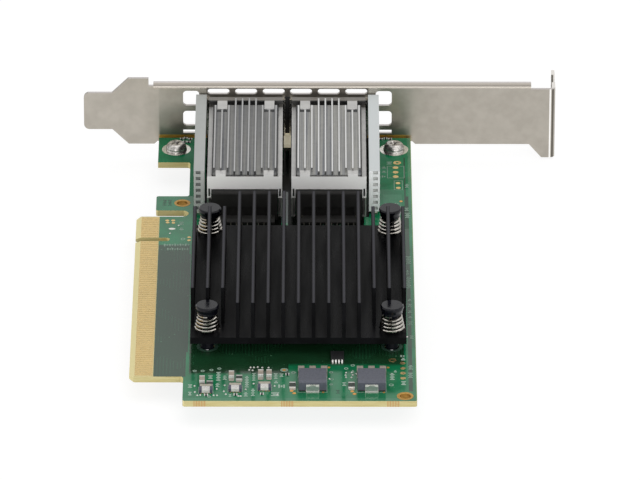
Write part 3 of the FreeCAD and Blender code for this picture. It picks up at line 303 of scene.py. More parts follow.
# The contact tab is bare up to here, and the board's top edge has a pale routed line.
BARE_X = 5.78
BARE_Y = 12.7
RIM = 0.22
# Copper that shows in the board's cut edge, in groups of short bars.
EDGE_BARS = (17.13, 38.0, 63.29)
EDGE_BAR_HALF = 1.5
BARS_PER_MM = 1.58


def board_look():
    """Glossy green solder mask over copper, with bare laminate under the contacts and at the edges; painted
    shade in narrow strips, a painted shadow of the cooler and a painted reflection on the slate strip.
    """
    look = Look("solder_mask", linear(18, 112, 72), 0.0, 0.14)
    position = look.position()
    x, y, _ = position
    look.patches(linear(14, 108, 68), linear(21, 124, 80), 6.0)
    for *edges, colour in BOARD_FIELDS:
        look.paint(look.field(position, *edges), *colour)

    dark = look.either(*(look.field(position, *edges) for edges in PAINTED_SHADE_FIELDS))
    # painted shade: the strips that no light reaches are painted near black
    look.paint(dark, 8, 12, 9)
    # painted shadow of the cooler, fading out towards the near edge
    for x_low, x_high, y_end in PAINTED_SHADOW_FIELDS:
        start = y_end - SHADE_START
        under = look.field(position, x_low, x_high, start, COOLER_HIGH.y)
        look.paint(look.both(under, look.spread(y, 0.0, 0.8, start, y_end + SHADE_SOFT)), 27, 32, 17)
    calm = [look.both(look.field(position, *edges), share) for share, edges in CALM_FIELDS]
    duller = look.either(look.both(dark, DARK_CALM), *calm)
    look.set("Specular IOR Level", look.math("SUBTRACT", MASK_SHINE, duller))

    # fine tracks in groups, and filled vias
    wave = look.add("ShaderNodeTexWave", Vector=look.coordinates((1, 0.015, 0)), Scale=0.4, Distortion=3.0)
    tracks = look.both(look.band(wave.outputs[1], 0.8, 1.1), look.band(look.noise(9.0), 0.55, 1.0), 0.09)
    look.paint(tracks, 70, 150, 110)
    cells = look.add("ShaderNodeTexVoronoi", Vector=look.coordinates((1, 1, 0)), Scale=1 / 2.1)
    vias = look.both(look.below(cells.outputs["Distance"], 0.1), look.band(look.noise(6.0), 0.54, 1.0), 0.4)
    look.paint(vias, 120, 168, 134)

    # bare laminate under the contacts, and a pale line where the board is routed
    bare = look.both(look.below(x, BARE_X), look.below(y, BARE_Y))
    look.paint(bare, 214, 197, 140)
    look.paint(look.both(look.above(x, BOARD_HIGH.x - RIM), 0.6), 128, 160, 84)
    mask_tone = look.tone

    # edge faces: laminate with the ends of a few inner layers
    facing = look.facing()
    edge = look.below(look.math("ABSOLUTE", facing[2]), FLAT_UP)
    groups = look.either(*(look.band(x, at - EDGE_BAR_HALF, at + EDGE_BAR_HALF) for at in EDGE_BARS))
    stripes = look.above(look.math("FRACT", look.both(x, BARS_PER_MM)), 0.6)
    look.patches(linear(196, 181, 122), linear(208, 198, 144), 0.8, 3.0, (0.15, 0.15, 3))
    look.paint(look.both(groups, look.math("ADD", look.both(stripes, 0.65), 0.3)), *EDGE_COPPER)
    look.paint(look.below(facing[0], -0.3), 234, 221, 162)
    look.set("Base Color", look.blend(edge, mask_tone, look.tone))
    matt = look.both(look.either(edge, bare), 0.35)
    look.set("Roughness", look.math("ADD", look.spread(look.noise(3.0), 0.1, 0.18), matt))
    look.grain(0.0015, 0.5, 2.0)
    return look


# ---------------- looks of the metal and plastic pieces

# Share of a fin's thickness that its eased edge takes, and stretches of patterns along drawn metal.
EASED = 0.16
DRAWN = (1, 0.1, 1)
FINE_DRAWN = (1, 0.01, 1)


def fin_tops(look, position, first, pitch, thick, lowest):
    """1 on the flat middle of the fin tops: above the lowest height, and clear of the eased edges."""
    across = look.math("FRACT", look.math("DIVIDE", look.math("SUBTRACT", position[0], first), pitch))
    flat = look.band(look.both(across, pitch), thick * EASED, thick * (1 - EASED))
    return look.both(flat, look.above(position[2], lowest))


def rider_look():
    """An extruded comb with a painted highlight on its fin tops, painted shade along both sides, and painted
    shade over the left comb.
    """
    look = Look("bare_aluminium", linear(132, 132, 129), 0.75, 0.36)
    position = look.position()
    x = position[0]
    look.patches(linear(112, 114, 118), linear(152, 151, 146), 0.55, 2.0, FINE_DRAWN)
    step = RIDER_RAIL + 0.02
    tops = []
    for low, high in (box_mm("port_heat_sink_left"), box_mm("port_heat_sink_right")):
        # painted shade along both sides of each comb, beside its outer fins
        steps = look.either(look.band(x, low.x, low.x + step), look.band(x, high.x - step, high.x))
        look.paint(look.both(steps, 0.9), 38, 38, 38)
        pitch = (high.x - low.x - RIDER_FIN - 2 * RIDER_RAIL) / (RIDER_FINS - 1)
        top = fin_tops(look, position, low.x + RIDER_RAIL, pitch, RIDER_FIN, RIDER_TOP - 0.08)
        tops.append(look.both(top, look.band(x, low.x, high.x)))
    # painted highlight on the flat of the fin tops
    look.paint(look.either(*tops), 208, 208, 207)
    # painted shade over the left comb, which gets less light
    look.paint(look.both(look.below(x, PORTS_MIDDLE), 0.4), 46, 47, 49)
    look.set("Base Color", look.tone)
    look.sheen(0.3, 0.42, 1.5)
    look.grain(0.002, 0.2, 2.0, (1, 0.05, 1))
    return look


def clip_look():
    """Bright sheet with painted light: faces towards the near side are painted brightest, and the far bar is
    painted dark as the plate's shade.
    """
    look = Look("clip_steel", linear(206, 205, 202), 0.0, 0.42)
    front = look.below(look.facing()[1], -SIDE_FACE)
    far_bar = look.above(look.position()[1], CLIP_FAR_BAR)
    look.patches(linear(184, 183, 181), linear(194, 193, 190), 2.5)
    # painted light on the faces towards the near side
    look.paint(front, 246, 245, 243)
    # painted shade over the far bar, under the plate
    shaded = look.blend(front, linear(112, 108, 102), linear(24, 22, 20))
    look.set("Base Color", look.blend(look.both(far_bar, 0.92), look.tone, shaded))
    look.set("Metallic", look.both(look.math("SUBTRACT", 1.0, front), 0.35))
    look.sheen(0.36, 0.46, 1.2)
    look.grain(0.001, 0.12, 2.0)
    return look


# The pockets of a light pipe: their middle from its side at the cage, their half width and depth.
PIPE_POCKET = 1.6
PIPE_POCKET_HALF = 0.64
PIPE_POCKET_DEPTH = 0.6


def pipe_look():
    """Clear plastic that looks pale grey, with painted light on the right pipe and on the near faces, and
    painted shade in the pockets of the near face.
    """
    look = Look("light_pipe_plastic", linear(200, 203, 203), 0.0, 0.4, 0.4)
    position = look.position()
    right = look.above(position[0], PORTS_MIDDLE)
    front = look.below(look.facing()[1], -SIDE_FACE)
    look.patches(linear(168, 171, 168), linear(172, 175, 172), 3.0)
    # painted light: the right pipe is painted lighter than the left one
    look.paint(right, 206, 211, 211)
    # painted light on the near faces, brightest on the right pipe
    near = look.blend(right, linear(188, 190, 187), linear(252, 254, 254))
    (left_low, left_high), (right_low, _) = box_mm("light_pipe_left"), box_mm("light_pipe_right")
    pockets = []
    for middle, near_y in ((left_high.x - PIPE_POCKET, left_low.y), (right_low.x + PIPE_POCKET, right_low.y)):
        sides = (middle - PIPE_POCKET_HALF, middle + PIPE_POCKET_HALF)
        pockets.append(look.field(position, *sides, near_y + 0.02, near_y + PIPE_POCKET_DEPTH))
    # painted shade in the pockets, lighter on the right pipe
    pocket_shade = look.both(look.either(*pockets), look.below(position[2], left_high.z - 0.2))
    inside = look.blend(right, linear(126, 129, 126), linear(206, 208, 205))
    look.set("Base Color", look.blend(pocket_shade, look.blend(front, look.tone, near), inside))
    look.sheen(0.36, 0.46, 2.0)
    look.grain(0.0002, 3.0)
    return look


def cage_look():
    """Nickel sheet with painted shade on its side walls and its far end."""
    look = Look("cage_nickel", linear(178, 177, 172), 0.6, 0.38)
    walls = look.above(look.math("ABSOLUTE", look.facing()[0]), SIDE_FACE)
    far_end = look.above(look.position()[1], RIDER_FAR)
    look.patches(linear(170, 169, 165), linear(186, 185, 180), 2.5)
    # painted shade on the side walls and the far end, which also lose their shine
    look.paint(walls, 34, 32, 28)
    look.paint(far_end, 26, 23, 20)
    look.set("Base Color", look.tone)
    lit = look.math("SUBTRACT", 1.0, look.either(walls, far_end))
    look.set("Metallic", look.both(lit, 0.6))
    look.set("Specular IOR Level", look.both(lit, 0.5))
    look.sheen(0.34, 0.44, 1.2)
    look.grain(0.001, 0.12, 2.0)
    return look


# Painted reflection of the board on the bracket: lowest and highest X on both sides of the cages, and the
# height at which the painted green has faded.
BOARD_REFLECTION_SPANS = [(4.8, 17.6), (57.4, 68.2)]
REFLECTION_TOP = 11.0
# The end tab's bend: where it starts, and the painted highlight and painted dark reflection of the bend on
# the inner face.
TAB_BEND_X = 104.5
TAB_FROM_Y = 59.05
TAB_BEND_REFLECTIONS = [(104.2, 104.6, (250, 248, 244)), (104.8, 105.3, (100, 96, 88))]
# The band of painted shade under the lip, above the ports: lowest and highest X and Z.
PORT_SHADE = (16.9, 58.1, 11.9, 14.5)
# The finger between the ports: its plan field, its top and the glow of its painted light.
FINGER_FIELD = (36.3, 38.7, 50.0, 61.0)
FINGER_TOP = 6.0
FINGER_GLOW = 0.36
SHEET_METALLIC = 0.85


def bracket_look():
    """Plated sheet: a painted reflection of the board low on its inner face, painted light and shade by face
    direction, and a finger and end tab painted pale as painted light.
    """
    look = Look("bracket_steel", linear(184, 178, 167), SHEET_METALLIC, 0.3)
    position, facing = look.position(), look.facing()
    x, y, z = position
    inner = look.below(facing[1], -0.5)
    look.patches(linear(173, 167, 157), linear(182, 176, 166), 3.0)
    look.paint(look.spread(x, 0.0, 0.1, 56.0, 68.0), 90, 86, 80)
    for x_low, x_high in BOARD_REFLECTION_SPANS:
        start = look.spread(x, 0.0, 1.0, x_low - 0.2, x_low + 0.2)
        end = look.spread(x, 1.0, 0.0, x_high - 1.2, x_high + 1.2)
        beside = look.both(start, inner, end)
        # painted reflection of the green board, fading upwards, and of the board's pale edge at its own level
        look.paint(look.both(beside, look.spread(z, 0.6, 0.1, 0.8, REFLECTION_TOP)), 38, 62, 42)
        look.paint(look.both(beside, look.band(z, BOARD_UNDER, BOARD_TOP + 0.5)), 204, 172, 88)
    # painted light on the faces that look up, and painted shade on the sloped faces of the bends
    look.paint(look.above(facing[2], FLAT_UP), 186, 181, 178)
    look.paint(look.both(look.band(facing[2], 0.2, FLAT_UP), look.below(x, TAB_BEND_X)), 146, 140, 132)
    # painted light on the end tab, which also loses most of its metal shine
    tab = look.both(look.above(x, TAB_BEND_X), look.above(y, TAB_FROM_Y))
    look.paint(tab, 232, 228, 222)
    # painted highlight and painted dark reflection along the tab's bend
    for x_low, x_high, colour in TAB_BEND_REFLECTIONS:
        look.paint(look.both(inner, look.band(x, x_low, x_high)), *colour)
    x_low, x_high, z_low, z_high = PORT_SHADE
    # painted shade under the lip above the ports
    shaded = look.both(look.band(x, x_low, x_high), look.band(z, z_low, z_high), inner, 0.55)
    look.paint(shaded, 58, 50, 44)
    finger = look.both(look.field(position, *FINGER_FIELD), look.below(z, FINGER_TOP))
    # painted light: the finger is painted near white, and glows
    look.paint(finger, 254, 250, 234)
    look.set("Base Color", look.tone)
    # the finger lies deep between the cages: the glow stands in for light that their walls send down
    look.set("Emission Color", linear(220, 210, 180))
    look.set("Emission Strength", look.both(finger, FINGER_GLOW))
    pale = look.both(look.either(finger, tab), 0.75)
    look.set("Metallic", look.math("SUBTRACT", SHEET_METALLIC, pale))
    look.sheen(0.28, 0.33, 4.0)
    look.grain(0.0006, 0.12, 2.0)
    return look


def sink_look():
    """Black anodising that hardly shines, with a painted highlight that makes the fin tops greyer and more
    violet.
    """
    look = Look("black_anodised", linear(12, 12, 13), 0.0, 0.3, 0.3)
    pitch = (COOLER_HIGH.x - COOLER_LOW.x - SINK_FIN) / (SINK_FINS - 1)
    top_band_width = SINK_FIN - 0.12
    top = fin_tops(look, look.position(), COOLER_LOW.x + 0.06, pitch, top_band_width, COOLER_HIGH.z - 0.12)
    look.patches(linear(14, 14, 15), linear(22, 22, 24), 6.0, 3.0, DRAWN)
    # painted highlight on the flat of the fin tops
    look.paint(top, 31, 30, 39)
    look.set("Base Color", look.tone)
    look.set("Specular IOR Level", look.math("ADD", look.both(top, 0.09), 0.04))
    look.sheen(0.26, 0.38, 2.0, 2.0, DRAWN)
    look.grain(0.002, 0.15, 2.0, DRAWN)
    return look


# Plain looks: display colour, metallic share, roughness and size of the patches; then, where they
# aren't the usual ones, the change of tone, the size and depth of the grain, and the specular level.
PLAIN_LOOKS = {
    "gold_plate": ((200, 174, 120), 1.0, 0.34, 1.5, 0.04, 0.1, 0.0005),
    "screw_steel": ((178, 174, 170), 0.85, 0.3, 0.9, 0.4, 0.3, 0.01),
    "chip_package": ((26, 26, 28), 0.0, 0.5, 0.8, 0.12, 0.12, 0.004),
    "thermal_gap_pad": ((140, 142, 148), 0.0, 0.8, 2.0, 0.12, 0.25, 0.01),
    "black_nylon": ((13, 13, 20), 0.0, 0.2, 1.0, 0.1, 0.3, 0.006, 0.24),
    "spring_steel": ((168, 164, 157), 1.0, 0.16, 0.5, 0.12, 0.1, 0.002),
    "connector_plastic": ((44, 43, 42), 0.0, 0.5, 2.0, 0.1, 0.15, 0.004, 0.1),
    "collar_steel": ((190, 188, 182), 1.0, 0.28, 1.0, 0.12, 0.1, 0.003),
    "lamp_plastic": ((214, 216, 200), 0.0, 0.3, 0.5, 0.12, 0.2, 0.003),
    "ferrite": ((76, 79, 90), 0.0, 0.45, 0.5, 0.12, 0.12, 0.012),
    "tinned_copper": ((206, 204, 198), 0.8, 0.3, 0.6),
    "ceramic_tan": ((158, 146, 132), 0.0, 0.45, 0.6),
    "module_package": ((66, 70, 88), 0.0, 0.4, 0.8),
    "ceramic_brown": ((42, 52, 44), 0.0, 0.45, 0.4),
    "silkscreen_ink": ((166, 186, 172), 0.0, 0.6, 0.6, 0.1),
    "worn_ink": ((134, 158, 142), 0.0, 0.6, 0.6),
    "mask_opening": ((52, 84, 68), 0.0, 0.5, 0.6, 0.1),
    "solder_joint": ((214, 212, 206), 1.0, 0.2, 0.4, 0.1, 0.25, 0.03),
    "bright_tin": ((212, 211, 206), 0.2, 0.3, 0.4, 0.05, 0.2, 0.004),
    "olive_gold": ((140, 132, 84), 0.3, 0.45, 0.4, 0.2, 0.2, 0.004),
    # painted shade: tin painted dark for the tails and pegs behind the connectors
    "shaded_tin": ((64, 62, 54), 0.2, 0.4, 0.4, 0.2, 0.2, 0.004),
    "dull_tin": ((150, 144, 134), 0.3, 0.35, 0.4, 0.1, 0.2, 0.004),
    "via_copper": ((224, 160, 78), 0.5, 0.34, 0.4),
    "clip_grey": ((122, 138, 128), 0.2, 0.4, 0.5, 0.1),
    "module_rim": ((172, 166, 150), 0.2, 0.4, 0.5),
    # painted shade: near black for the dark pieces that stand in shade
    "shade_black": ((30, 30, 31), 0.0, 0.6, 0.6, 0.1, 0.1, 0.002),
    "hole_wall": ((176, 134, 62), 0.6, 0.4, 0.6, 0.12, 0.1, 0.003),
}
LOOKS = {name: mottled(name, *row) for name, row in PLAIN_LOOKS.items()}
for make in (bracket_look, sink_look, cage_look, rider_look, clip_look, pipe_look, board_look):
    made = make()
    LOOKS[made.name] = made


def dress_nodes():
    """Give every CAD node the look of its record's slot."""
    slots = {part["node"]: part["material_slot"] for part in frame["record"]["subparts"]}
    for name, node in nodes.items():
        look = LOOKS[slots[name]].material
        node.data.materials.clear()
        node.data.materials.append(look)


# ---------------- mesh helpers


def put_in_scene(name, data):
    thing = bpy.data.objects.new(name, data)
    bpy.context.scene.collection.objects.link(thing)
    return thing


def finish_piece(name, form, look, slot_name="tinned_copper", bevel=0.0, smooth=False, replaced=()):
    """Turn a bmesh in millimetres into a piece of that look that rides on the card."""
    for vertex in form.verts:
        vertex.co *= MM
    bmesh.ops.recalc_face_normals(form, faces=form.faces)
    mesh = bpy.data.meshes.new(name)
    form.to_mesh(mesh)
    form.free()
    piece = put_in_scene(name, mesh)
    mesh.materials.append(LOOKS[look].material)
    if smooth:
        for polygon in mesh.polygons:
            polygon.use_smooth = True
    if bevel:
        modifier = piece.modifiers.new("Bevel", "BEVEL")
        modifier.width = bevel * MM
        modifier.segments = 2
        modifier.limit_method = "ANGLE"
    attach(piece, "root")
    if replaced:
        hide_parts(*replaced)


def add_block(form, low, high):
    """A box between two corners."""
    corners = []
    for z in (low[2], high[2]):
        for x, y in ((low[0], low[1]), (high[0], low[1]), (high[0], high[1]), (low[0], high[1])):
            corners.append(form.verts.new((x, y, z)))
    a, b, c, d, e, f, g, h = corners
    for face in ((d, c, b, a), (e, f, g, h), (a, b, f, e), (b, c, g, f), (c, d, h, g), (d, a, e, h)):
        form.faces.new(face)


def add_prism(form, outline, ends, along_y=False):
    """Extrude an outline of Y and Z pairs along X between two ends, or one of X and Z pairs along Y."""
    rows = []
    for end in ends:
        places = [(across, end, z) if along_y else (end, across, z) for across, z in outline]
        rows.append([form.verts.new(place) for place in places])
    form.faces.new(rows[0])
    form.faces.new(rows[1][::-1])
    for i in range(len(outline)):
        j = (i + 1) % len(outline)
        form.faces.new((rows[0][i], rows[0][j], rows[1][j], rows[1][i]))


def moved(outline, across, z, turn=1):
    """An outline at its place, mirrored where turn is -1."""
    return [(across + turn * point[0], z + point[1]) for point in outline]


def add_turned(form, x, y, section, steps, long=1.0):
    """Turn a section of radius and height pairs round an upright axis; long is its Y size by its X size."""
    rows = []
    for radius, z in section:
        row = []
        for step in range(steps if radius else 1):
            angle = 2 * math.pi * step / steps
            across, along = radius * math.cos(angle), radius * math.sin(angle) * long
            row.append(form.verts.new((x + across, y + along, z)))
        rows.append(row)
    # a section that starts on the axis stays open, any other closes on itself
    starts_at_axis = len(rows[0]) == 1
    for i in range(len(rows) - starts_at_axis):
        first, second = rows[i], rows[(i + 1) % len(rows)]
        for step in range(steps):
            after = (step + 1) % steps
            if len(first) == 1:
                form.faces.new((first[0], second[step], second[after]))
            elif len(second) == 1:
                form.faces.new((first[step], first[after], second[0]))
            else:
                form.faces.new((first[step], first[after], second[after], second[step]))


def add_ring(form, x, y, thick, inner, outer, steps):
    """A flat ring on the component side."""
    top = BOARD_TOP + thick
    section = [(outer, BOARD_TOP), (outer, top), (inner, top), (inner, BOARD_TOP)]
    add_turned(form, x, y, section, steps)


def add_dome(form, x, y, z, radius, height):
    section = [(0.0, z), (radius, z)]
    for turn in (30, 60):
        angle = math.radians(turn)
        section.append((radius * math.cos(angle), z + height * math.sin(angle)))
    section.append((0.0, z + height))
    add_turned(form, x, y, section, 12)


def add_flat(form, x_low, x_high, y_low, y_high, thick, z=None):
    """A thin plate on the component side, or on another level."""
    z = BOARD_TOP if z is None else z
    add_block(form, (x_low, y_low, z), (x_high, y_high, z + thick))


def make_set(name, look, add, places, **finish):
    """One piece of many like things, each added at its place."""
    form = bmesh.new()
    for place in places:
        add(form, *place)
    finish_piece(name, form, look, **finish)


# ---------------- pads, holes and vias

# Thickness of pads and ink; then widths: the plated rims of the bored holes, their plating, the two
# radii of the rims under the push pins, and the radius of a dot of solder.
PAD_THICK = 0.035
INK_THICK = 0.02
HOLE_RIM = 0.55
PLATING = 0.12
PIN_RIM = (1.8, 2.6)
DOT_RADIUS = 0.28


def add_pad(form, x, y, radius, long=1.0):
    """A round or oval pad on the component side."""
    top = BOARD_TOP + PAD_THICK
    section = [(0.0, BOARD_TOP), (radius, BOARD_TOP), (radius, top), (0.0, top)]
    add_turned(form, x, y, section, 24, long)


def add_rim(form, x, y, inner, outer):
    add_ring(form, x, y, PAD_THICK, inner, outer, 32)


def add_dot(form, x, y):
    add_dome(form, x, y, BOARD_TOP, DOT_RADIUS, DOT_RADIUS)


def make_holes():
    """Plated rims of the bored holes, on both faces, and the rims under the push pins."""
    gold = bmesh.new()
    for mount in frame["record"]["mounts"]:
        if mount["kind"] != "bore":
            continue
        x, y = mount["pos_m"][0] / MM, mount["pos_m"][1] / MM
        radius = mount["dims"]["r_mm"]
        outer = radius + HOLE_RIM
        top, under = BOARD_TOP + PAD_THICK, BOARD_UNDER - PAD_THICK
        section = [
            (outer, BOARD_TOP), (outer, top), (radius, top), (radius - PLATING, BOARD_TOP),
            (radius - PLATING, BOARD_UNDER), (radius, under), (outer, under), (outer, BOARD_UNDER),
            (radius, BOARD_UNDER), (radius, BOARD_TOP)]
        add_turned(gold, x, y, section, 48)
    finish_piece("plated_hole_rings", gold, "hole_wall", "gold_plate")

    pins = [name for name in nodes if name.startswith("push_pin_") and "spring" not in name]
    middles = [sum(box_mm(name), Vector()) / 2 for name in pins]
    rims = [(at.x, at.y, *PIN_RIM) for at in middles]
    make_set("pin_hole_rims", "mask_opening", add_rim, rims)


# Places of the dots of solder, the vias, and the test pads with their radius.
SOLDER_DOTS = [
    (15.8, -77.5), (15.9, -80.6), (21.1, -79.0), (16.5, -82.3), (17.2, -82.1), (20.4, -82.25), (21.2, -82.25),
    (23.0, -77.2), (28.0, -79.2), (22.8, -80.2), (23.3, -81.7), (26.3, -82.6), (26.85, -82.6), (29.9, -76.3),
    (34.9, -77.5), (35.6, -81.8), (29.1, -68.0), (29.9, -68.0), (30.8, -67.8), (28.8, -69.3), (29.6, -69.5),
    (31.9, -68.1), (33.4, -68.1), (48.0, -73.8), (52.0, -73.0), (53.3, -73.1), (52.0, -70.7), (53.4, -70.6),
    (53.6, -71.8), (51.9, -71.9), (8.5, 3.1), (10.6, 7.45), (54.5, -71.2), (66.8, -52.1),
]
GREY_VIAS = [(15.7, -69.7), (17.6, -69.7), (19.7, -69.2), (21.6, -68.5), (19.3, -82.75)]
COPPER_VIAS = [
    (39.0, -79.8, 0.45), (39.6, -81.0, 0.45), (53.45, -80.0, 0.45), (54.0, -81.3, 0.45), (47.9, -67.8, 0.35),
    (62.1, -67.85, 0.35), (46.5, -80.5, 0.3), (61.0, -80.5, 0.3), (66.1, 21.2, 0.4), (42.6, -68.9, 0.3),
    (45.4, -68.9, 0.3), (56.6, -68.9, 0.3), (59.4, -68.9, 0.3),
]
TEST_PADS = [
    (7.7, 10.4, 0.5), (7.8, 9.25, 0.45), (9.2, 10.4, 0.5), (9.25, 9.1, 0.45), (13.3, 1.15, 0.45),
    (13.3, -0.5, 0.45), (64.9, 40.2, 0.72), (64.9, 37.6, 0.72), (64.9, 35.1, 0.72), (65.45, 31.4, 0.6),
    (65.5, 28.75, 0.6),
]
EDGE_PADS = [(65.66, -65.6), (65.66, -68.2), (65.66, -70.75), (65.66, -73.3)]
EDGE_PAD_RADIUS = 0.65
RING_PADS = [(63.2, -64.1, 0.4, 0.95), (65.35, 43.0, 0.4, 1.0)]
OVAL_PAD = (8.96, 5.8, 0.85, 0.6)
FIDUCIAL = (37.17, -69.2)


def make_vias():
    """Solder dots, vias, test pads, plated rings and the fiducial."""
    make_set("solder_dots", "bright_tin", add_dot, SOLDER_DOTS, smooth=True)
    make_set("via_rims", "worn_ink", add_rim, [(x, y, 0.22, 0.5) for x, y in GREY_VIAS])
    make_set("copper_vias", "via_copper", add_pad, COPPER_VIAS, slot_name="gold_plate")
    gold = bmesh.new()
    for x, y, radius in TEST_PADS + [(x, y, EDGE_PAD_RADIUS) for x, y in EDGE_PADS]:
        add_pad(gold, x, y, radius)
    for x, y, inner, outer in RING_PADS:
        add_rim(gold, x, y, inner, outer)
    finish_piece("test_pads", gold, "gold_plate", "gold_plate")
    make_set("fiducial_core", "via_copper", add_pad, [(*FIDUCIAL, 0.45)], slot_name="gold_plate")
    make_set("fiducial_clearing", "worn_ink", add_rim, [(*FIDUCIAL, 0.5, 0.95)])
    make_set("oval_test_pad", "solder_joint", add_pad, [OVAL_PAD])


# ---------------- generic legend

# Patches of short strokes where the card has small legend, and frames: lowest and highest X, lowest
# and highest Y. Rings: X, Y, inner and outer radius.
LEGEND = [
    (20.9, 21.9, -74.6, -70.0), (19.0, 20.0, -73.6, -71.8), (14.2, 15.2, -78.2, -76.4),
    (14.3, 15.1, -82.1, -80.1), (20.8, 21.7, -77.9, -75.7), (22.5, 23.4, -74.1, -71.9),
    (27.8, 28.7, -78.0, -72.1), (24.0, 24.6, -82.8, -81.2), (27.6, 28.5, -82.6, -80.4),
    (29.5, 30.3, -74.6, -70.5), (29.3, 30.2, -82.4, -78.5), (34.1, 36.0, -82.4, -80.4),
    (34.7, 35.6, -73.6, -70.7), (34.8, 35.7, -75.9, -74.4), (35.8, 37.6, -78.3, -76.6),
    (36.1, 37.0, -72.6, -70.8), (53.3, 53.9, -70.2, -69.1), (51.1, 52.0, -77.2, -75.2),
    (62.5, 63.6, -74.1, -70.5), (63.5, 64.2, -70.2, -69.1), (65.2, 66.3, -76.7, -74.6),
    (65.3, 66.3, -64.1, -62.6), (65.1, 66.4, -62.4, -61.4),
]
FAINT_LEGEND = [
    (67.0, 68.1, -68.8, -66.5), (66.9, 68.0, -73.1, -70.3), (67.0, 68.2, -13.2, -9.0),
    (67.0, 67.7, -18.9, -16.4), (66.9, 68.1, -26.3, -19.9), (67.2, 68.2, -33.1, -31.7),
    (67.2, 68.2, -36.2, -34.5), (67.2, 68.2, -39.3, -37.9), (67.2, 68.2, -42.0, -41.0),
    (67.2, 68.2, -45.8, -43.7), (67.5, 68.4, -52.9, -51.1), (62.7, 64.0, 42.1, 43.8),
    (61.4, 62.5, 39.8, 40.9), (61.4, 62.5, 37.5, 38.6), (61.4, 62.5, 34.7, 35.7),
    (67.2, 68.2, 29.0, 31.2), (67.0, 68.0, 16.0, 17.8), (67.0, 68.3, 12.0, 15.0),
    (65.3, 66.3, 9.5, 10.5), (62.1, 65.7, 19.5, 20.2), (10.7, 11.8, 8.1, 9.9),
    (10.8, 11.9, 5.1, 6.6), (7.1, 13.6, -3.7, -2.4), (7.9, 13.4, -5.9, -4.7),
]
LEGEND_FRAMES = [
    (62.75, 67.1, 34.3, 41.1), (64.4, 66.6, 27.6, 32.9),
    (40.4, 47.5, -80.6, -72.4), (54.5, 61.6, -80.6, -72.4),
]
LEGEND_RINGS = [
    (52.05, -68.35, 0.3, 0.5), (53.65, -66.75, 0.3, 0.5), (62.8, -76.7, 0.4, 0.58),
    (11.8, 0.25, 0.4, 0.55),
]
PALE_RINGS = [
    (48.4, -70.3, 0.25, 0.5), (48.6, -73.9, 0.25, 0.45), (48.4, -76.55, 0.2, 0.45),
    (39.4, -70.5, 0.25, 0.6),
]
DARK_PATCHES = [(6.4, 7.4, 18.8, 22.1), (7.7, 8.7, 18.8, 22.1), (49.6, 50.5, -81.1, -79.1)]
STROKE = 0.62
STROKE_INSET = 0.22
FRAME_LINE = 0.15


def add_strokes(form, x_low, x_high, y_low, y_high):
    """Short strokes side by side along the patch's longer side, every other one shorter."""
    upright = y_high - y_low >= x_high - x_low
    sides = ((x_low, x_high), (y_low, y_high))
    (side, far_side), (start, end) = sides if upright else sides[::-1]
    count = max(2, round((end - start) / STROKE))
    step = (end - start) / count
    for index in range(count):
        first = start + index * step
        inset = (far_side - side) * STROKE_INSET * (index % 2)
        across, along = (side + inset, far_side - inset), (first, first + step * STROKE)
        edges = (*across, *along) if upright else (*along, *across)
        add_flat(form, *edges, INK_THICK)


def add_frame(form, x_low, x_high, y_low, y_high):
    """The four thin lines of a rectangle."""
    for y in (y_low, y_high - FRAME_LINE):
        add_flat(form, x_low, x_high, y, y + FRAME_LINE, INK_THICK)
    for x in (x_low, x_high - FRAME_LINE):
        add_flat(form, x, x + FRAME_LINE, y_low + FRAME_LINE, y_high - FRAME_LINE, INK_THICK)


def make_legend():
    """Generic strokes, frames and rings in place of the card's legend; none of them is a letter."""
    for name, look, patches, frames, rings in (
        ("legend_strokes", "silkscreen_ink", LEGEND, (), LEGEND_RINGS),
        ("worn_legend", "worn_ink", FAINT_LEGEND, LEGEND_FRAMES, PALE_RINGS),
        ("mask_openings", "mask_opening", DARK_PATCHES, (), ()),
    ):
        form = bmesh.new()
        for patch in patches:
            add_strokes(form, *patch)
        for edges in frames:
            add_frame(form, *edges)
        for x, y, inner, outer in rings:
            add_ring(form, x, y, INK_THICK, inner, outer, 24)
        finish_piece(name, form, look, "solder_mask")


# ---------------- chips, modules and coils

CAP_SKIN = 0.02
FOOT_REACH = 0.35
# Chips with metal ends: node, share of the length that each end takes, piece and look.
WRAPPED = [
    ("chip_capacitors", 0.16, "chip_ends", "bright_tin"),
    ("output_capacitors", 0.16, "output_capacitor_ends", "bright_tin"),
    ("bulk_capacitors", 0.18, "bulk_capacitor_ends", "dull_tin"),
]


def add_end_caps(form, low, high, share, axis=1):
    """The two metal ends of a ceramic chip, wrapped round its box."""
    length = (high[axis] - low[axis]) * share
    near = (low[axis] - CAP_SKIN, low[axis] + length)
    far = (high[axis] - length, high[axis] + CAP_SKIN)
    for start, end in (near, far):
        first = [value - CAP_SKIN for value in low]
        last = [value + CAP_SKIN for value in high]
        first[axis], last[axis] = start, end
        first[2] = max(first[2], BOARD_TOP) if high[2] > BOARD_TOP else low[2]
        last[2] = min(last[2], BOARD_UNDER) if high[2] < 0 else last[2]
        add_block(form, first, last)


def add_foot(form, low, high):
    """A wedge of solder at each Y end of a chip, from the pad up its metal end."""
    rise = (high.z - low.z) * 0.6
    wedge = [(0.0, 0.0), (FOOT_REACH, 0.0), (FOOT_REACH * 0.35, rise * 0.45), (0.0, rise)]
    for edge, outward in ((low.y, -1), (high.y, 1)):
        add_prism(form, moved(wedge, edge, BOARD_TOP, outward), (low.x + 0.05, high.x - 0.05))


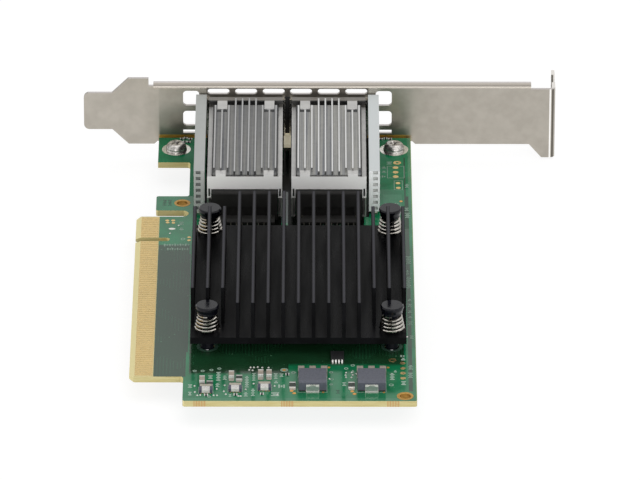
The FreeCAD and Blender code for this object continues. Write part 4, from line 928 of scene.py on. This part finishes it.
def make_chips():
    """Metal ends on every ceramic chip, on the top and under the board."""
    for node, share, name, look in WRAPPED:
        ends, feet = bmesh.new(), bmesh.new()
        for low, high in solid_boxes(node):
            add_end_caps(ends, low, high, share)
            add_foot(feet, low, high)
        finish_piece(name, ends, look, bevel=0.03)
        finish_piece(name + "_solder", feet, "dull_tin")
    under = [(low, high, 0.25, 0) for low, high in solid_boxes("decoupling_capacitors")]
    make_set("decoupling_ends", "bright_tin", add_end_caps, under, bevel=0.02)


# A module's lid folds down over the near side: half width, reach, thickness, and height of its hem.
LID_HALF = 0.95
LID_REACH = 1.9
LID_THICK = 0.04
LID_HEM = 0.14
# Feet of the modules and leads of the switch: how many, the first from the side, pitch and half width.
LEAD_COUNT = 4
FOOT_FIRST = 0.4
LEAD_FIRST = 0.48
LEAD_PITCH = 0.75
LEAD_HALF = 0.18
LEAD_SECTION = [
    (0.0, 0.55), (0.0, 0.68), (0.3, 0.68), (0.5, 0.16), (0.9, 0.16), (0.9, 0.0), (0.4, 0.0), (0.22, 0.55)]


def make_modules():
    """Each power module: a bright lid, a pale far rim, near feet, and a pale sill on both sides."""
    lids, rims, feet, sills = (bmesh.new() for _ in range(4))
    for low, high in solid_boxes("power_modules"):
        middle = (low.x + high.x) / 2
        skirt = low.z + LID_HEM - high.z
        lid = [
            (LID_REACH, 0.0), (LID_REACH, LID_THICK), (-0.02, LID_THICK), (-0.06, 0.0), (-0.06, skirt),
            (-0.02, skirt), (-0.02, 0.0)]
        add_prism(lids, moved(lid, low.y, high.z), (middle - LID_HALF, middle + LID_HALF))
        add_flat(rims, low.x + 0.15, high.x - 0.15, low.y + 2.0, high.y - 0.1, 0.03, high.z)
        for step in range(LEAD_COUNT):
            x = low.x + FOOT_FIRST + step * LEAD_PITCH
            add_flat(feet, x - LEAD_HALF, x + LEAD_HALF, low.y - 0.4, low.y + 0.05, 0.12)
        for wall in (low.x - 0.25, high.x + 0.05):
            add_flat(sills, wall, wall + 0.2, low.y, high.y, 0.08)
    finish_piece("module_lids", lids, "bright_tin", bevel=0.02)
    finish_piece("module_rims", rims, "module_rim", "module_package", bevel=0.02)
    finish_piece("module_feet", feet, "olive_gold", "gold_plate", bevel=0.03)
    finish_piece("module_sills", sills, "worn_ink")


def make_switch_leads():
    """Short leads on the near side of the power switch."""
    low, _ = box_mm("power_switch")
    leads = bmesh.new()
    section = moved(LEAD_SECTION, low.y, BOARD_TOP, -1)
    for step in range(LEAD_COUNT):
        x = low.x + LEAD_FIRST + step * LEAD_PITCH
        add_prism(leads, section, (x - LEAD_HALF, x + LEAD_HALF))
    finish_piece("power_switch_leads", leads, "bright_tin")


# How far behind the clip's foot its upright face lies.
CLIP_FACE = 0.52
FOOT_SHADOW_THICK = 0.03


def make_coil_clips():
    """The folded end clips of the coils: two bright ears, a grey middle and a bright foot; and painted shadow
    strips along the foot of each coil.
    """
    ears, middles, foot_shadows = (bmesh.new() for _ in range(3))
    for low, high in solid_boxes("inductor_terminals"):
        face = low.y + CLIP_FACE
        span, rise = high.x - low.x, high.z - low.z
        for start, end in ((0.0, 0.36), (1.0, 0.64)):
            half = (start + end) / 2
            ear = [(start, 1.0), (start, 0.72), (half, 0.7), (end, 0.88), (half, 1.0)]
            outline = [(low.x + across * span, low.z + up * rise) for across, up in ear]
            add_prism(ears, outline, (face, face - 0.07), along_y=True)
        add_flat(ears, low.x + 0.04, high.x - 0.04, low.y + 0.02, low.y + 0.5, 0.04, low.z + 0.17)
        top = low.z + rise * 0.8
        add_block(middles, (low.x + 0.1, face - 0.05, low.z + 0.2), (high.x - 0.1, face + 0.02, top))
    # painted shadow: dark strips along the foot of both faces of each coil
    for side in SIDES:
        low, high = box_mm("inductor_core_" + side)
        for wall in (low.y - FOOT_SHADOW_THICK, high.y):
            add_flat(foot_shadows, low.x + 0.1, high.x - 0.1, wall, wall + FOOT_SHADOW_THICK, 0.32)
    finish_piece("coil_clip_ears", ears, "bright_tin")
    finish_piece("coil_clip_middles", middles, "clip_grey")
    finish_piece("coil_foot_shadows", foot_shadows, "shade_black", "ferrite")


# Middles of the tiny chips, half their size and their height.
TINY_CHIPS = [
    (37.95, -71.7), (31.9, -81.6), (25.6, -82.0), (18.6, -82.2), (10.6, 56.3), (11.6, 56.7),
    (12.8, 56.2), (11.4, 54.6), (12.4, 54.5), (61.3, 56.3), (62.5, 56.6), (63.7, 56.3),
]
TINY_HALF = (0.45, 0.3)
TINY_HEIGHT = 0.35


def make_small_chips():
    """Loose tiny chips on the near strip and beside the ports."""
    bodies, ends = bmesh.new(), bmesh.new()
    for x, y in TINY_CHIPS:
        low = Vector((x - TINY_HALF[0], y - TINY_HALF[1], BOARD_TOP))
        high = Vector((x + TINY_HALF[0], y + TINY_HALF[1], BOARD_TOP + TINY_HEIGHT))
        add_block(bodies, low, high)
        add_end_caps(ends, low, high, 0.28, 0)
    finish_piece("tiny_chips", bodies, "chip_package", "chip_package")
    finish_piece("tiny_chip_ends", ends, "bright_tin", bevel=0.02)


# ---------------- ports and bracket details

# Tails behind a connector: how many, the first from the side, half width and section; then the ledge,
# and the pegs' place from the connector's middle and half width.
TAIL_COUNT = 10
TAIL_FIRST = 2.0
TAIL_HALF = 0.13
TAIL_SECTION = [
    (0.0, 0.3), (0.0, 0.42), (0.35, 0.42), (0.5, 0.12), (0.9, 0.12), (0.9, 0.0), (0.42, 0.0), (0.28, 0.3)]
LEDGE_REACH = 2.3
LEDGE_INSET = 0.7
LEDGE_SECTION = [(-LEDGE_REACH, 0.0), (-LEDGE_REACH, 0.5), (-1.6, 1.1), (-0.2, 1.3), (0.0, 1.3), (0.0, 0.0)]
PEG_OFFSET = 6.7
PEG_HALF = 0.14


def make_connector_tails():
    """The black ledge behind each connector, its row of soldered tails and two hold-down pegs; the tin of
    tails and pegs is painted dark as painted shade.
    """
    for side in SIDES:
        low, high = box_mm("port_connector_" + side)
        ledge, tin = bmesh.new(), bmesh.new()
        add_prism(ledge, moved(LEDGE_SECTION, low.y, BOARD_TOP), (low.x + LEDGE_INSET, high.x - LEDGE_INSET))
        pitch = (high.x - low.x - 2 * TAIL_FIRST) / (TAIL_COUNT - 1)
        tail = moved(TAIL_SECTION, low.y - LEDGE_REACH, BOARD_TOP, -1)
        for step in range(TAIL_COUNT):
            x = low.x + TAIL_FIRST + step * pitch
            add_prism(tin, tail, (x - TAIL_HALF, x + TAIL_HALF))
        middle = (low.x + high.x) / 2
        for x in (middle - PEG_OFFSET, middle + PEG_OFFSET):
            add_flat(tin, x - PEG_HALF, x + PEG_HALF, low.y - 1.0, low.y - 0.4, 0.5, BOARD_TOP + 1.0)
        finish_piece("connector_ledge_" + side, ledge, "connector_plastic", "connector_plastic", bevel=0.05)
        # painted shade: the tails and pegs are tin painted dark
        finish_piece("connector_tails_" + side, tin, "shaded_tin")


# The outer line of a bowed spring: share of the way from the cage to the collar's side, and height.
BOW = [(0.0, 11.3), (0.55, 11.0), (0.9, 10.4), (0.95, 9.9), (0.7, 9.3), (0.1, 8.9)]
BOW_THICK = 0.24


def make_collar_springs():
    """The bowed spring at the top of each side of a collar, and near black sheets of painted shade at its
    sides and between the collars.
    """
    springs, shade_sheets = bmesh.new(), bmesh.new()
    section = BOW + [(max(share - BOW_THICK, -0.1), z) for share, z in reversed(BOW)]
    for side in SIDES:
        low, high = box_mm("emi_collar_" + side)
        cage_low, cage_high = box_mm("cage_" + side)
        for wall, reach in ((cage_low.x, low.x - cage_low.x), (cage_high.x, high.x - cage_high.x)):
            outline = [(wall + share * reach, z) for share, z in section]
            add_prism(springs, outline, (low.y - 0.5, low.y - 0.02), along_y=True)
            first, last = sorted((wall + reach * 0.02, wall + reach * 0.98))
            # painted shade: a near black sheet inside each side of the collar
            add_block(shade_sheets, (first, low.y + 0.1, BOARD_TOP + 0.1), (last, low.y + 0.6, high.z - 0.1))
    # painted shade: a near black sheet across the gap between the collars
    left_high, right_low = box_mm("emi_collar_left")[1], box_mm("emi_collar_right")[0]
    first = (left_high.x - 0.2, left_high.y - 0.2, BOARD_TOP + 1.0)
    add_block(shade_sheets, first, (right_low.x + 0.2, left_high.y - 0.02, left_high.z + 0.3))
    finish_piece("collar_springs", springs, "collar_steel", "collar_steel")
    finish_piece("collar_shade_sheets", shade_sheets, "shade_black", "connector_plastic", bevel=0.03)


# The clips' far tabs: their middle from the clip's, half widths of a tab and of the fin at its middle,
# and the near and far end of the painted shadows before them.
TAB_OFFSET = 5.97
TAB_HALF = 1.25
FIN_HALF = 0.26
TAB_SHADOW_Y = (48.6, 49.95)


def make_clip_shadows_and_slots():
    """Painted shadows in the riding sinks under the clips' far tabs, dark slots in the clips' legs, and
    bright toes.
    """
    slots, toes = bmesh.new(), bmesh.new()
    for side in SIDES:
        low, high = box_mm("port_heat_sink_" + side)
        middle = (low.x + high.x) / 2
        for tab in (middle - TAB_OFFSET, middle + TAB_OFFSET):
            for x_low, x_high in ((tab - TAB_HALF - 0.1, tab - FIN_HALF), (tab + FIN_HALF, tab + TAB_HALF)):
                # painted shadow under the tab's near end, on both sides of the fin at its middle
                add_flat(slots, x_low, x_high, *TAB_SHADOW_Y, 0.05, high.z - 1.0)
        clip_low, clip_high = box_mm("heat_sink_clip_" + side)
        y, z = clip_low.y, clip_low.z
        for x, inward in ((clip_low.x, 1), (clip_high.x, -1)):
            add_dome(toes, x + inward * 0.5, y + 0.1, z + 0.1, 0.34, 0.3)
            first, last = sorted((x + inward * 0.3, x + inward * 0.75))
            add_block(slots, (first, y - 0.02, z + 0.5), (last, y + 0.02, z + 2.6))
    finish_piece("clip_tab_shadows_and_leg_slots", slots, "shade_black", "bare_aluminium")
    finish_piece("clip_toes", toes, "bright_tin", "clip_steel", smooth=True)


SCREW_STEPS = 48
SHANK_RADIUS = 1.25
SHANK_TIP = 0.25
WASHER = 0.2
# The head's side from the washer's rim, the height where its dome starts, and its flat's radius.
HEAD_INSET = 0.12
HEAD_EDGE = 0.4
SCREW_PLATEAU = 1.45
# One arm of the cross: places along and across it, from the corner between two arms round its end.
CROSS_ARM = [(0.3, -0.3), (1.2, -0.3), (1.2, 0.3)]
CROSS_TURN = 20
CROSS_TAPER = 0.62
CROSS_DEPTH = 0.9


def add_screw(form, low, high):
    """A pan head on its washer, with a cross recess, and the threaded shank below."""
    middle = (low + high) / 2
    radius = (high.x - low.x) / 2
    edge = radius - HEAD_INSET
    top, base = high.z, BOARD_TOP + HEAD_EDGE
    section = [
        (0.0, low.z), (SHANK_RADIUS - SHANK_TIP, low.z), (SHANK_RADIUS, low.z + SHANK_TIP),
        (SHANK_RADIUS, BOARD_TOP), (radius, BOARD_TOP), (radius, BOARD_TOP + WASHER), (edge, base)]
    for turn in range(15, 90, 15):
        angle = math.radians(turn)
        across = SCREW_PLATEAU + (edge - SCREW_PLATEAU) * math.cos(angle)
        section.append((across, base + (top - base) * math.sin(angle)))
    flat = SCREW_PLATEAU - 0.001
    section += [(SCREW_PLATEAU, top), (flat, top)]
    add_turned(form, middle.x, middle.y, section, SCREW_STEPS)
    # the flat of the head with the cross cut out of it, then the tapered recess
    circle = []
    for step in range(SCREW_STEPS):
        angle = 2 * math.pi * step / SCREW_STEPS
        place = (middle.x + flat * math.cos(angle), middle.y + flat * math.sin(angle), top)
        circle.append(form.verts.new(place))
    arms = []
    for quarter in range(4):
        turn = math.radians(90 * quarter + CROSS_TURN)
        cos, sin = math.cos(turn), math.sin(turn)
        for along, across in CROSS_ARM:
            arms.append((along * cos - across * sin, along * sin + across * cos))
    upper, lower = (
        [form.verts.new((middle.x + x * share, middle.y + y * share, z)) for x, y in arms]
        for share, z in ((1.0, top), (CROSS_TAPER, top - CROSS_DEPTH)))
    edges = []
    for loop in (circle, upper):
        for index, vertex in enumerate(loop):
            edges.append(form.edges.new((vertex, loop[(index + 1) % len(loop)])))
    bmesh.ops.triangle_fill(form, use_beauty=True, use_dissolve=False, edges=edges)
    for index, vertex in enumerate(upper):
        after = (index + 1) % len(upper)
        form.faces.new((vertex, upper[after], lower[after], lower[index]))
    form.faces.new(lower)


SCREW_PAD = (1.6, 3.65)


def make_screws():
    """Replace the plain CAD screws, and tin the pads they are screwed down on."""
    pads = bmesh.new()
    for side in SIDES:
        name = "bracket_screw_" + side
        low, high = box_mm(name)
        middle = (low + high) / 2
        add_ring(pads, middle.x, middle.y, PAD_THICK, *SCREW_PAD, 40)
        screw = bmesh.new()
        add_screw(screw, low, high)
        bmesh.ops.remove_doubles(screw, verts=screw.verts, dist=0.002)
        finish_piece(name + "_turned", screw, "screw_steel", "screw_steel", replaced=(name,))
    finish_piece("screw_pads", pads, "solder_joint")


# ---------------- camera, light and floor

CAMERA_PLACE = Vector((43.9046, -1658.1745, 842.552))
CAMERA_BACK = Vector((-0.00101235, -0.89165884, 0.45270685))
CAMERA_RIGHT = Vector((0.999998757, -0.000355314, 0.001536377))
LENS = 421.49
SENSOR_WIDTH = 36.0
CLIP_START = 0.05
CLIP_END = 50.0
FLOOR_DROP = 0.5
FLOOR_HALF = 1500.0
FLOOR_GLOW = 0.84
AMBIENT = 0.5
WHITE = (1.0, 1.0, 1.0, 1.0)
# Lamps: name, place and size in metres, and power in watts. Both look at the middle of the card.
LAMPS = [("key", (0.3, 0.3, 1.7), (2.4, 2.0), 12.0), ("fill", (0.4, -1.9, 0.6), (2.4, 1.0), 20.0)]
LAMP_TARGET = Vector((0.04, 0.0, 0.0))


def make_camera():
    data = bpy.data.cameras.new("camera")
    data.lens = LENS
    data.sensor_width = SENSOR_WIDTH
    data.clip_start = CLIP_START
    data.clip_end = CLIP_END
    camera = put_in_scene("camera", data)
    upward = CAMERA_BACK.cross(CAMERA_RIGHT)
    turn = Matrix((CAMERA_RIGHT, upward, CAMERA_BACK)).transposed()
    camera.matrix_world = Matrix.Translation(CAMERA_PLACE * MM) @ turn.to_4x4()
    bpy.context.scene.camera = camera


def add_area(name, place, size, power):
    data = bpy.data.lights.new(name, "AREA")
    data.shape = "RECTANGLE"
    data.size, data.size_y = size
    data.energy = power
    lamp = put_in_scene(name, data)
    lamp.location = place
    lamp.rotation_euler = (LAMP_TARGET - Vector(place)).to_track_quat("-Z", "Y").to_euler()


def seen_as(tree, plain, seen):
    """The seen shader for camera, glossy and transmission rays, and the plain one for the rest."""
    path = tree.nodes.new("ShaderNodeLightPath")
    total = path.outputs["Is Camera Ray"]
    for kind in ("Is Glossy Ray", "Is Transmission Ray"):
        either = tree.nodes.new("ShaderNodeMath")
        either.operation = "MAXIMUM"
        tree.links.new(total, either.inputs[0])
        tree.links.new(path.outputs[kind], either.inputs[1])
        total = either.outputs[0]
    mix = tree.nodes.new("ShaderNodeMixShader")
    tree.links.new(total, mix.inputs[0])
    tree.links.new(plain, mix.inputs[1])
    tree.links.new(seen, mix.inputs[2])
    return mix.outputs[0]


def make_world():
    world = bpy.data.worlds.new("studio")
    world.use_nodes = True
    tree = world.node_tree
    plain = tree.nodes["Background"]
    plain.inputs["Color"].default_value = WHITE
    plain.inputs["Strength"].default_value = AMBIENT
    white = tree.nodes.new("ShaderNodeBackground")
    white.inputs["Color"].default_value = WHITE
    white.inputs["Strength"].default_value = 1.0
    surface = seen_as(tree, plain.outputs[0], white.outputs[0])
    tree.links.new(surface, tree.nodes["World Output"].inputs["Surface"])
    bpy.context.scene.world = world


def make_floor():
    """White paper that keeps a soft shadow of the card."""
    form = bmesh.new()
    z = cad_box[0][2] / MM - FLOOR_DROP
    corners = [(x * FLOOR_HALF, y * FLOOR_HALF) for x, y in ((-1, -1), (1, -1), (1, 1), (-1, 1))]
    form.faces.new([form.verts.new((x * MM, y * MM, z * MM)) for x, y in corners])
    mesh = bpy.data.meshes.new("floor")
    form.to_mesh(mesh)
    form.free()
    floor = put_in_scene("floor", mesh)
    material = bpy.data.materials.new("floor_paper")
    material.use_nodes = True
    tree = material.node_tree
    paper = tree.nodes["Principled BSDF"]
    paper.inputs["Base Color"].default_value = linear(232, 232, 232)
    paper.inputs["Roughness"].default_value = 0.9
    faint = tree.nodes.new("ShaderNodeBsdfDiffuse")
    faint.inputs["Color"].default_value = (0.22, 0.22, 0.22, 1.0)
    glow = tree.nodes.new("ShaderNodeEmission")
    glow.inputs["Strength"].default_value = FLOOR_GLOW
    both = tree.nodes.new("ShaderNodeAddShader")
    tree.links.new(faint.outputs[0], both.inputs[0])
    tree.links.new(glow.outputs[0], both.inputs[1])
    surface = seen_as(tree, paper.outputs[0], both.outputs[0])
    tree.links.new(surface, tree.nodes["Material Output"].inputs["Surface"])
    mesh.materials.append(material)


def make_stage():
    make_camera()
    make_world()
    make_floor()
    for lamp in LAMPS:
        add_area(*lamp)
    bpy.context.scene.view_settings.view_transform = "Standard"


dress_nodes()
make_holes()
make_vias()
make_legend()
make_chips()
make_modules()
make_switch_leads()
make_coil_clips()
make_small_chips()
make_connector_tails()
make_collar_springs()
make_clip_shadows_and_slots()
make_screws()
make_stage()
